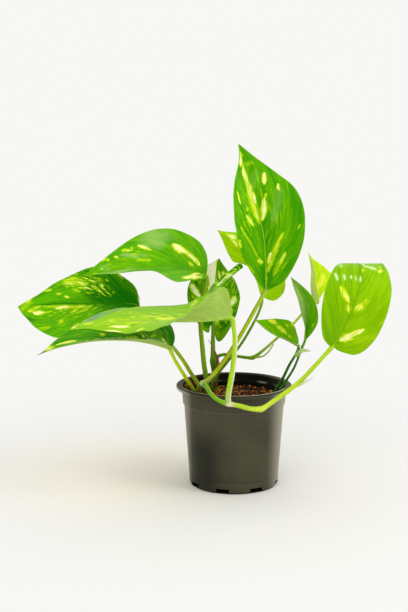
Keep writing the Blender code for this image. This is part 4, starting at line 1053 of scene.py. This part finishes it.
def stalk_points(stem):
    """A stem's route, run on under the blade that it carries, and the way its channel faces."""
    if "bears" not in stem:
        return stem["route"], np.array([0.3, -1.0, 0.2])
    leaf = LEAVES[stem["bears"]]
    rib = Route(leaf["rib"])
    way = rib.way([0])[0]
    up = np.array(leaf["face"][0], float)
    up = unit(up - way * np.dot(up, way))
    tail = [(*(rib.at([far / rib.length])[0] - up * drop), thick)
            for far, drop, thick in [(-0.5, 1.3, stem["route"][-1][3] * 0.95), *TAIL]]
    return stem["route"] + tail, up - way


def model_stalk(name, index, stem):
    points, facing = stalk_points(stem)
    route = Route(points, steps=200)
    rows = round(route.length / STALK_STEP)
    centre, radius, side, other = carried(route, rows + 1, facing)
    stalk, flat, row = grid(STALK_SIDES, rows)
    turn = flat[:, 0] * 2 * np.pi
    share = row / rows
    run = share * route.length
    left = route.length - run
    swell = np.ones_like(run)
    if "bears" in stem:
        swell += 0.22 * np.exp(-((left - 20) / 4) ** 2)
        if index > 0 or not name.startswith("vine"):
            channel = np.clip(run / 25, 0, 1) * np.clip((left - 14) / 10, 0, 1)
            swell -= channel * 0.3 * np.exp(-(turn / 0.3) ** 2)
            swell += channel * 0.2 * np.exp(-((np.abs(turn) - 0.55) / 0.2) ** 2)
    for spot in RINGS.get(name, []):
        near = np.linalg.norm(centre[row] - np.array(spot), axis=1)
        swell += 0.24 * np.exp(-(near / 2.6) ** 2) + 0.08 * np.exp(-((near - 3.6) / 0.6) ** 2)
    radius = radius * stem.get("slim", SLIM)
    swell += 0.07 * np.array([noise.noise(Vector((x / 9, 5 * index, len(name)))) for x in run])
    ends = np.clip(np.minimum(run, left) / np.maximum(radius[row], 0.3), 0, 1)
    size = radius[row] * swell * np.sqrt(1 - (1 - ends) ** 2)
    outward = around(side[row], other[row], turn)
    place_points(stalk, centre[row] + outward * size[:, None])
    tint = keyed(stem["tint"], share)
    for faces, colour, amount in stem.get("edges", []):
        weight = amount * np.clip((outward @ unit(np.array(faces, float)) - 0.7) / 0.25, 0, 1)
        tint = tint + (np.array(colour) - tint) * weight[:, None]
    for label, values in (("run", run), ("turn", turn), ("tint", tint)):
        attribute(stalk, label, values)
    weld(stalk)
    return stalk


# %% [markdown]
# ## Skin of the stalks
#
# A stalk is striped along its length with slightly paler and darker green, dotted with tiny pale pores,
# and glossy like wax. One side of it is faintly flushed with red-brown.

# %% Stalk skin group and material
FLUSH = {"petiole_d": 0.12}    # how red the flush is, where it isn't 0.1


def stalk_skin_group():
    group, tree, given, result = new_group(
        "Stalk skin", {"value": "Flush"}, {"colour": "Colour", "value": "Roughness Height"})
    run, turn = tree.stored("run"), tree.stored("turn")
    sine = tree.math('SINE', turn)
    ring = tree.combine(tree.math('COSINE', turn) * 2.2, sine * 2.2, run * 0.06)
    stripe = tree.noise(ring, 2.4, detail=3.0)
    blotch = tree.noise(tree.place(), 160.0, detail=3.0)
    pore = tree.ramp(tree.node("TexVoronoi", {"Vector": tree.place(), "Scale": 900.0}), 0.16, 0.08)
    skin = tree.mix(tree.ramp(stripe, 0.62, 0.34, 0.0, 0.3), tree.stored("tint", "Color"),
                    rgb(0.03, 0.12, 0.0))
    skin = tree.mix(given["Flush"] * tree.ramp(sine, 0.25, 0.95), skin, rgb(0.20, 0.06, 0.015))
    skin = tree.mix(tree.ramp(blotch, 0.52, 0.7, 0.0, 0.12), skin, rgb(0.62, 0.72, 0.16))
    tree.feed(result, {"Colour": tree.mix(pore * 0.15, skin, rgb(0.6, 0.66, 0.2)),
                       "Roughness": stripe * 0.2 + 0.24, "Height": pore * 0.4 + stripe})
    return group


STALK_SKIN = stalk_skin_group()


def stalk_finish(name, flush=0.0):
    finish, tree, shader = new_material(name, 0.35, Specular_IOR_Level=0.2,
                                        Specular_Tint=(0.8, 0.95, 0.4, 1))
    skin = tree.use(STALK_SKIN, {"Flush": flush})
    tree.feed(shader, {"Base Color": skin["Colour"], "Roughness": skin["Roughness"],
                       "Normal": tree.bump(skin["Height"], 0.2 * MM, 0.4)})
    return finish


for name, stems in STEMS.items():
    stalks = [model_stalk(name, index, stem) for index, stem in enumerate(stems)]
    piece = join(name, stalks)
    skin = stalk_finish(name + "_skin", FLUSH.get(name, 0.1))
    hand_over(piece, name + "_stalks", skin, name)

# %% [markdown]
# ## Sheaths
#
# Each new leaf comes out of a papery sleeve that stays on the stalk. One has dried brown and twists,
# and two are still pale green with a free tip. A sleeve is a strip, part of a tube, that narrows to its
# tip and is given the thickness of paper. wrap is how far round it reaches, in degrees each way.

# %% Model the sheaths
PAPER = 0.35                   # thickness of a sheath, in millimetres


def model_sheath(points, wrap, facing, tints, twist=0.0):
    """A strip that wraps round a route by the angles in wrap, and follows its radius."""
    route = Route(points)
    rows = max(12, round(route.length / 0.9))
    centre, radius, side, other = carried(route, rows + 1, np.array(facing, float))
    sheath, flat, row = grid(18, rows)
    share = row / rows
    shares, angles = zip(*wrap)
    turn = flat[:, 0] * 2 * np.radians(np.interp(share, shares, angles)) + twist * share
    size = radius[row] * (1 + 0.08 * np.sin(share * 23 + flat[:, 0] * 9))
    place_points(sheath, centre[row] + around(side[row], other[row], turn) * size[:, None])
    for label, values in (("run", share * route.length), ("turn", turn), ("tint", keyed(tints, share))):
        attribute(sheath, label, values)
    modify(sheath, 'SOLIDIFY', thickness=PAPER * MM, offset=0)
    return sheath


dry = model_sheath([(-16.4, 4.6, 86, 1.6), (-15.2, 4.3, 97, 1.7), (-14.4, 3, 105, 1.6),
                    (-15.5, 2, 112, 1.5), (-18, 1.5, 118.5, 1.2), (-20.3, 1.5, 123, 1.0),
                    (-23.4, 1.5, 128.5, 0.3)], [(0, 150), (0.7, 90), (1, 20)], (0, -1, 0),
                   [(0, 0.12, 0.04, 0.015), (0.6, 0.22, 0.07, 0.02), (1, 0.30, 0.13, 0.05)], twist=2.0)
hand_over(dry, "dry_sheath_paper", stalk_finish("dry_paper", 0.4), "dry_sheath")

pale = model_sheath([(54, -2, 114, 1.9), (57, -2, 118.3, 1.9), (61.5, -2.3, 119.6, 1.5),
                     (67.5, -2.6, 119, 0.3)], [(0, 110), (0.5, 100), (1, 30)], (0, -1, 0.2),
                    [(0, 0.25, 0.5, 0.06), (0.5, 0.55, 0.72, 0.3), (1, 0.62, 0.66, 0.36)])
hand_over(pale, "right_sheath", stalk_finish("pale_paper"), "stem_right")

spur = model_sheath([(51, -56, 100.8, 2.1), (56, -56.5, 103.5, 1.9), (61, -57, 106, 1.2),
                     (65, -57.5, 107.8, 0.25)], [(0, 80), (0.5, 80), (1, 30)], (0.4, -0.3, -0.9),
                    [(0, 0.55, 0.72, 0.06), (0.6, 0.7, 0.78, 0.4), (1, 0.66, 0.66, 0.36)])
hand_over(spur, "vine_spur", stalk_finish("spur_paper"), "vine_front")

# %% [markdown]
# ## The potting mix
#
# The mix is coir and fine bark: a lumpy brown crumb with pale chips and stray fibres lying on it. It is
# heaped a little round the vines. A grid turned round the pot's axis makes the lumpy plug, and a few
# hundred loose chips, of a few dozen faces each, lie on top.

# %% Sizes of the pot and its mix
POT_HEIGHT, LIP_RADIUS, LIP_HEIGHT = 89.0, 51.0, 3.0
NECK_RADIUS = 46.0             # outside, just under the lip
BAND_HEIGHT = 14.5             # plain band between the lip and the shoulder line
SHOULDER_RADIUS = 44.0         # outside, just under the shoulder line
FOOT_RADIUS, FOOT_HEIGHT, FOOT_STEP = 39.4, 9.0, 0.3
WALL = 1.1
FLOOR_UNDER, FLOOR_TOP = 3.6, 5.0
PAD_RADIUS = 9.0
UNDER_LIP = POT_HEIGHT - LIP_HEIGHT
SHOULDER = UNDER_LIP - BAND_HEIGHT
MIX_LEVEL = 78.0
MIX_RADIUS = NECK_RADIUS - 2.7
# Heaps of mix, as x, y, height and the two ways' spread; the second clings to the outer stalks
HEAPS = [(-34, 0, 6.0, 15 * math.sqrt(2), 15 * math.sqrt(2)), (-38, 8, 8.5, 8, 14)]
# Crumbs of three sizes, as height, width and a number that sets each apart
CRUMBS = [(1.3, 9, 1), (0.9, 3.6, 5), (0.5, 1.5, 9)]


def mix_height(x, y):
    """How high the mix stands at a place, with its heaps and crumbs."""
    heaps = sum(height * math.exp(-((x - at_x) / wide) ** 2 - ((y - at_y) / deep) ** 2)
                for at_x, at_y, height, wide, deep in HEAPS)
    return MIX_LEVEL + heaps + sum(height * noise.noise(Vector((x / width, y / width, apart)))
                                   for height, width, apart in CRUMBS)


# %% Model the plug of mix
TOP_ROWS, SIDE_ROWS = 90, 12
MIX_TONE = 0.35                # how light the plug is, from 0 to 1; chips and fibres have their own
ALL_ROWS = TOP_ROWS + SIDE_ROWS

plug, flat, row = grid(200, ALL_ROWS)
turn = flat[:, 0] * 2 * np.pi
radius = np.where(row <= TOP_ROWS, MIX_RADIUS * (row / TOP_ROWS) ** 0.8,
                  np.interp(row, [TOP_ROWS, TOP_ROWS + 3, ALL_ROWS - 1, ALL_ROWS],
                            [MIX_RADIUS, SHOULDER_RADIUS - 2.0, FOOT_RADIUS - 3.4, 0]))
x, y = radius * np.cos(turn), radius * np.sin(turn)
z = np.where(row <= TOP_ROWS, [mix_height(a, b) for a, b in zip(x, y)],
             np.interp(row, [TOP_ROWS, TOP_ROWS + 3, ALL_ROWS - 1], [MIX_LEVEL, SHOULDER, FLOOR_TOP + 0.3]))
place_points(plug, np.column_stack([x, y, z]))
attribute(plug, "tone", np.full(len(x), MIX_TONE))
weld(plug)
print("the mix stands", round(z.max(), 1), "mm high at most")

# %% Chips and fibres
scatter = random.Random(11)


def many(name, unit_piece, count, place):
    """Copies of a small piece, each put by place() as a matrix and a tone, in one mesh."""
    points = corners(unit_piece)
    faces = [list(face.vertices) for face in unit_piece.data.polygons]
    everything, loops, tones = [], [], []
    for number in range(count):
        matrix, tone = place()
        everything.append(points @ np.array(matrix.to_3x3()).T + np.array(matrix.translation))
        loops += [[number * len(points) + corner for corner in face] for face in faces]
        tones += [tone] * len(points)
    mesh = bpy.data.meshes.new(name)
    mesh.from_pydata(np.vstack(everything).tolist(), [], loops)
    piece = bpy.data.objects.new(name, mesh)
    scene.collection.objects.link(piece)
    attribute(piece, "tone", tones)
    bpy.data.objects.remove(unit_piece)
    return piece


def rough_chip(seed):
    fresh()
    bpy.ops.mesh.primitive_ico_sphere_add(subdivisions=2, radius=1)
    chip = bpy.context.object
    shape = corners(chip)
    bumps = np.array([noise.noise(Vector(p) * 1.3 + Vector((seed, 0, 0))) for p in shape])
    place_points(chip, np.sign(shape) * np.abs(shape) ** 0.75 * (1 + 0.5 * bumps)[:, None])
    return chip


def rough_fibre():
    fibre, flat, _ = grid(4, 9)
    along, turn = flat[:, 1], flat[:, 0] * 2 * np.pi
    thin = 0.11 * (1 - (2 * along) ** 6)
    place_points(fibre, np.column_stack([along * 7, 0.8 * np.cos(along * 5) + thin * np.cos(turn),
                                         0.5 * np.cos(along * 3) + thin * np.sin(turn)]))
    weld(fibre)
    return fibre


def spot_on_mix(share):
    """A place on the mix, within a share of its radius."""
    reach = MIX_RADIUS * share * math.sqrt(scatter.random())
    angle = scatter.uniform(0, 2 * math.pi)
    return reach * math.cos(angle), reach * math.sin(angle)


def laid(x, y, above, tip):
    """A matrix that lays a piece on the mix at a place, tipped and turned any way round."""
    place = Matrix.Translation(Vector((x, y, mix_height(x, y) + above)) * MM)
    return place @ Matrix.Rotation(scatter.uniform(0, 6.3), 4, 'Z') @ tip


def chip_place():
    """A chip that lies mostly flat; small ones are common."""
    x, y = spot_on_mix(0.98)
    long = 0.5 + 1.5 * scatter.random() ** 3
    size = Matrix.Diagonal((long, long * scatter.uniform(0.3, 0.7), long * scatter.uniform(0.2, 0.5), 1))
    tip = Matrix.Rotation(scatter.gauss(0, 0.5), 4, (scatter.random(), scatter.random(), 0.01))
    return laid(x, y, long * 0.12, tip) @ size, scatter.random()


def fibre_place():
    x, y = spot_on_mix(0.9)
    tip = Matrix.Rotation(scatter.gauss(0, 0.3), 4, 'Y')
    return laid(x, y, 0.4, tip) @ Matrix.Scale(scatter.uniform(0.5, 1.2), 4), 0.9


chips = [many(f"chips_{seed}", rough_chip(seed), 260, chip_place) for seed in (1, 2, 3)]
fibres = many("fibres", rough_fibre(), 170, fibre_place)
print(len(chips), "kinds of chip and", len(fibres.data.polygons), "faces of fibre")


# %% Finish of the mix
def mix_finish():
    """Dark crumb, orange-brown coir and straw-coloured chips, by tone and by noise."""
    finish, tree, shader = new_material("coir_and_bark", 0.95, Specular_IOR_Level=0.2)
    place = tree.place()
    crumb = tree.noise(place, 420.0, detail=5.0, roughness=0.65)
    patch = tree.noise(place, 70.0)
    level = (patch - 0.5) * 1.6 + ((crumb - 0.5) * 1.6 + tree.stored("tone"))
    colour = tree.mix(tree.ramp(level, 0.22, 0.62), rgb(0.008, 0.003, 0.001), rgb(0.14, 0.026, 0.002))
    colour = tree.mix(tree.ramp(level, 0.5, 0.86), colour, rgb(0.62, 0.20, 0.008))
    colour = tree.mix(tree.ramp(level, 0.84, 1.1), colour, rgb(0.62, 0.42, 0.05))
    height = crumb + tree.noise(place, 1500.0, detail=3.0) * 0.5
    tree.feed(shader, {"Base Color": colour, "Normal": tree.bump(height, 0.6 * MM, 0.8)})
    return finish


hand_over(join("mix", [plug, *chips, fibres]), "potting_mix", mix_finish(), "soil", angle=60)

# %% [markdown]
# ## The nursery pot
#
# A nursery pot is blown or pressed from thin black polypropylene: a rolled lip, a plain band, a
# shoulder line, a tapered wall, and a foot with notches so that water can run out. The profile is
# turned round the axis, and the notches and drain holes are cut with a Boolean modifier.

# %% Model the pot
NOTCHES = 8
NOTCH_WIDTH, NOTCH_HEIGHT, NOTCH_DEPTH = 12.0, 4.2, 8.0
NOTCH_START = math.radians(-106)
DRAIN_RADIUS, DRAIN_CIRCLE, DRAIN_DEPTH = 3.5, 27.0, 4.0
POT_SIDES = 160


def pot_wall(height):
    """Outer radius of the tapered wall below the band."""
    low = FOOT_RADIUS + FOOT_STEP
    share = (height - FOOT_HEIGHT) / (SHOULDER - FOOT_HEIGHT)
    return low + (SHOULDER_RADIUS - low) * share


# The wall's profile from the lip down the outside and up the inside: each run starts from a radius
# and a height, and lists steps from there
FOOT_WALL = pot_wall(FOOT_HEIGHT)
PROFILE_RUNS = [
    (LIP_RADIUS, POT_HEIGHT, [(-1.1, -0.05), (-0.55, -0.2), (-0.15, -0.6), (0, -1.1)]),
    (LIP_RADIUS, UNDER_LIP, [(-0.1, 0.4), (-0.4, 0), (-1.1, 0), (-1.6, 0.8)]),
    (NECK_RADIUS, UNDER_LIP, [(0.9, 0.8), (0.3, 0.4), (0, -0.6), (-0.45, -7)]),
    (NECK_RADIUS, SHOULDER, [(-0.85, 1.5), (-1.1, 0.9)]),
    (SHOULDER_RADIUS, SHOULDER, [(0.2, 0.3), (0, -0.4)]),
    (pot_wall(50), 50, [(0, 0)]), (pot_wall(30), 30, [(0, 0)]),
    (pot_wall(FOOT_HEIGHT + 1.4), FOOT_HEIGHT, [(0, 1.4)]),
    (FOOT_WALL, FOOT_HEIGHT, [(-0.15, 0.9), (-0.5, 0.4)]),
    (FOOT_RADIUS, FOOT_HEIGHT, [(0.1, -0.2), (0.2, -0.8)]),
    (FOOT_RADIUS, 0, [(0, 2.4), (-0.25, 1.2), (-0.8, 0.35), (-1.5, 0), (-2.6, 0), (-3.1, 0.4)]),
    (FOOT_RADIUS, FLOOR_UNDER, [(-3.4, -0.5), (-3.9, 0)]),
    (PAD_RADIUS, FLOOR_UNDER, [(1.1, 0), (0.5, -0.5)]),
    (PAD_RADIUS, 0, [(0, 0.3), (-0.4, 0)]), (0, 0, [(0, 0), (0, FLOOR_TOP)]),
    (FOOT_RADIUS, FLOOR_TOP, [(-4.0, 0), (-2.6, 0.5)]),
    (pot_wall(FLOOR_TOP + 2.5) - WALL, FLOOR_TOP, [(0, 2.5)]), (SHOULDER_RADIUS - WALL, SHOULDER, [(0, 0)]),
    (NECK_RADIUS, UNDER_LIP, [(-2.5, -4.2), (-2.3, -3.6), (-1.5, -3.2), (-1.25, -2.8), (-0.9, 1.4),
                              (-0.2, 2.4)]),
    (NECK_RADIUS, POT_HEIGHT, [(0.5, -0.15), (1.3, 0)]),
]
profile = np.array([(r + out, z + up) for r, z, steps in PROFILE_RUNS for out, up in steps])
print(len(profile), "points in the pot's profile")

pot, flat, row = grid(POT_SIDES, len(profile))
turn = flat[:, 0] * 2 * np.pi
radius, z = profile[row % len(profile)].T
place_points(pot, np.column_stack([radius * np.cos(turn), radius * np.sin(turn), z]))
weld(pot)


def at_angle(radius, angle, height):
    return Vector((radius * math.cos(angle), radius * math.sin(angle), height)) * MM


cutters = []
for angle in (NOTCH_START + 2 * math.pi * k / NOTCHES for k in range(NOTCHES)):
    fresh()
    bpy.ops.mesh.primitive_cube_add(
        size=1, location=at_angle(FOOT_RADIUS - 1, angle, (NOTCH_HEIGHT - 1) / 2), rotation=(0, 0, angle),
        scale=Vector((NOTCH_DEPTH, NOTCH_WIDTH, NOTCH_HEIGHT + 1)) * MM)
    cutters.append(bpy.context.object)
    fresh()
    bpy.ops.mesh.primitive_cylinder_add(
        vertices=32, radius=DRAIN_RADIUS * MM, depth=DRAIN_DEPTH * MM,
        location=at_angle(DRAIN_CIRCLE, angle + math.pi / NOTCHES, FLOOR_UNDER + 0.7))
    cutters.append(bpy.context.object)
print(len(cutters), "notches and drain holes to cut")
tool = join("pot_cutters", cutters)
modify(pot, 'BOOLEAN', operation='DIFFERENCE', solver='EXACT', object=tool)
bpy.data.objects.remove(tool)


# %% Finish of the pot
LEDGE = 81.5                   # height of the ledge inside, under the lip
STEP_LIGHT = 0.22              # how much the shoulder line catches the light
SHADE_X, SHADE_Z = -27.0, 22.0     # middle of the painted shade on the lower left
RIGHT_REFLECTION, LEFT_REFLECTION = (27.0, 45.0), (-36.5, -42.0)
PLASTIC, PALER_PLASTIC = rgb(0.040, 0.037, 0.018), rgb(0.055, 0.050, 0.026)
# Colour of the painted reflection of the room at the pot's sides
REFLECTED_ROOM = rgb(0.36, 0.33, 0.24)


def pot_finish():
    """Dull black plastic, with painted reflections at its sides and painted shade inside, under the floor
    and low on the left.
    """
    finish, tree, shader = new_material("nursery_plastic", 0.5, Specular_IOR_Level=0.0, Coat_Roughness=0.32,
                                        Sheen_Weight=0.22, Sheen_Roughness=0.3,
                                        Sheen_Tint=(1, 0.93, 0.78, 1))
    # Everything in this finish is measured in millimetres
    place = tree.place()
    x, y, z = (axis * (1 / MM) for axis in tree.separate(place))
    radius = tree.math('SQRT', x * x + y * y)
    cloud = tree.noise(place, 30.0, detail=3.0)
    speck = tree.noise(place, 800.0)
    colour = tree.mix(tree.ramp(cloud, 0.35, 0.65), PLASTIC, PALER_PLASTIC)
    # Painted shade low on the left of the wall
    left_shade = (tree.ramp(tree.math('ABSOLUTE', x - SHADE_X), 20.0, 3.0)
           * tree.ramp(tree.math('ABSOLUTE', z - SHADE_Z), 46.0, 10.0))
    colour = tree.mix(left_shade * 0.88, colour, rgb(0.006, 0.0075, 0.003))
    # Painted reflection of the bright room at the wall's right side, fainter at its left
    side_reflection = tree.most(tree.ramp(x, *RIGHT_REFLECTION), tree.ramp(x, *LEFT_REFLECTION) * 0.5)
    colour = tree.mix(side_reflection * 0.85, colour, REFLECTED_ROOM)
    colour = tree.mix(tree.ramp(speck, 0.68, 0.76, 0.0, 0.3), colour, rgb(0.2, 0.18, 0.12))
    step = tree.ramp(z, SHOULDER, SHOULDER + 0.5) * tree.ramp(z, SHOULDER + 1.4, SHOULDER + 0.9)
    colour = tree.mix(step * STEP_LIGHT, colour, rgb(0.20, 0.19, 0.14))
    slope = (SHOULDER_RADIUS - FOOT_RADIUS - FOOT_STEP) / (SHOULDER - FOOT_HEIGHT)
    middle = z * slope + (pot_wall(0) - WALL / 2) + tree.ramp(z, SHOULDER, UNDER_LIP - 3, 0.0, 1.15)
    # Painted shade on the inner wall down to the floor, and under the floor inside the foot
    inner = tree.ramp(radius - middle, 0.25, -0.25) * tree.ramp(z, FLOOR_TOP - 0.3, FLOOR_TOP)
    under = tree.ramp(z, 4.6, 4.2) * tree.ramp(radius, FOOT_RADIUS - 0.3, FOOT_RADIUS - 0.7)
    painted_shade_within = tree.most(inner, under)
    colour = tree.mix(painted_shade_within * 0.95, colour, rgb(0.004, 0.005, 0.003))
    # Painted highlight along the ledge inside, under the lip
    ledge = inner * (tree.ramp(z, LEDGE, LEDGE + 0.7) * tree.ramp(z, LEDGE + 2.1, LEDGE + 1.5))
    colour = tree.mix(ledge * (tree.ramp(cloud, 0.4, 0.6) * 0.8), colour, rgb(0.36, 0.36, 0.28))
    lip = tree.ramp(z, 87.8, 88.6) * tree.ramp(radius, 45.5, 46.2) * 0.8
    colour = tree.mix(lip, colour, rgb(0.02, 0.019, 0.012))
    shine = tree.ramp(radius, 46.0, 46.6) * tree.ramp(radius, 48.2, 47.4) * tree.ramp(y, -12.0, -24.0)
    colour = tree.mix(shine * tree.ramp(x, -30.0, 12.0, 0.35, 0.95), colour, rgb(0.72, 0.68, 0.56))
    # Painted reflection of the room on the outer left of the lip
    corner = tree.ramp(radius, 50.5, 50.9) * tree.ramp(x, -38.0, -48.0)
    colour = tree.mix(corner * 0.8, colour, rgb(0.34, 0.33, 0.27))
    height = tree.noise(place, 2400.0) * 0.12 + tree.noise(place, 60.0, detail=1.0)
    tree.feed(shader, {"Base Color": colour, "Roughness": cloud * 0.25 + 0.3,
                       "Coat Weight": tree.ramp(tree.most(painted_shade_within, lip), 0.0, 1.0, 0.42, 0.06),
                       "Normal": tree.bump(height, 0.3 * MM, 0.35)})
    return finish


hand_over(pot, "nursery_pot", pot_finish(), "pot", angle=40)

# %% [markdown]
# ## The end
#

# %% End
print("the potted pothos is dressed")
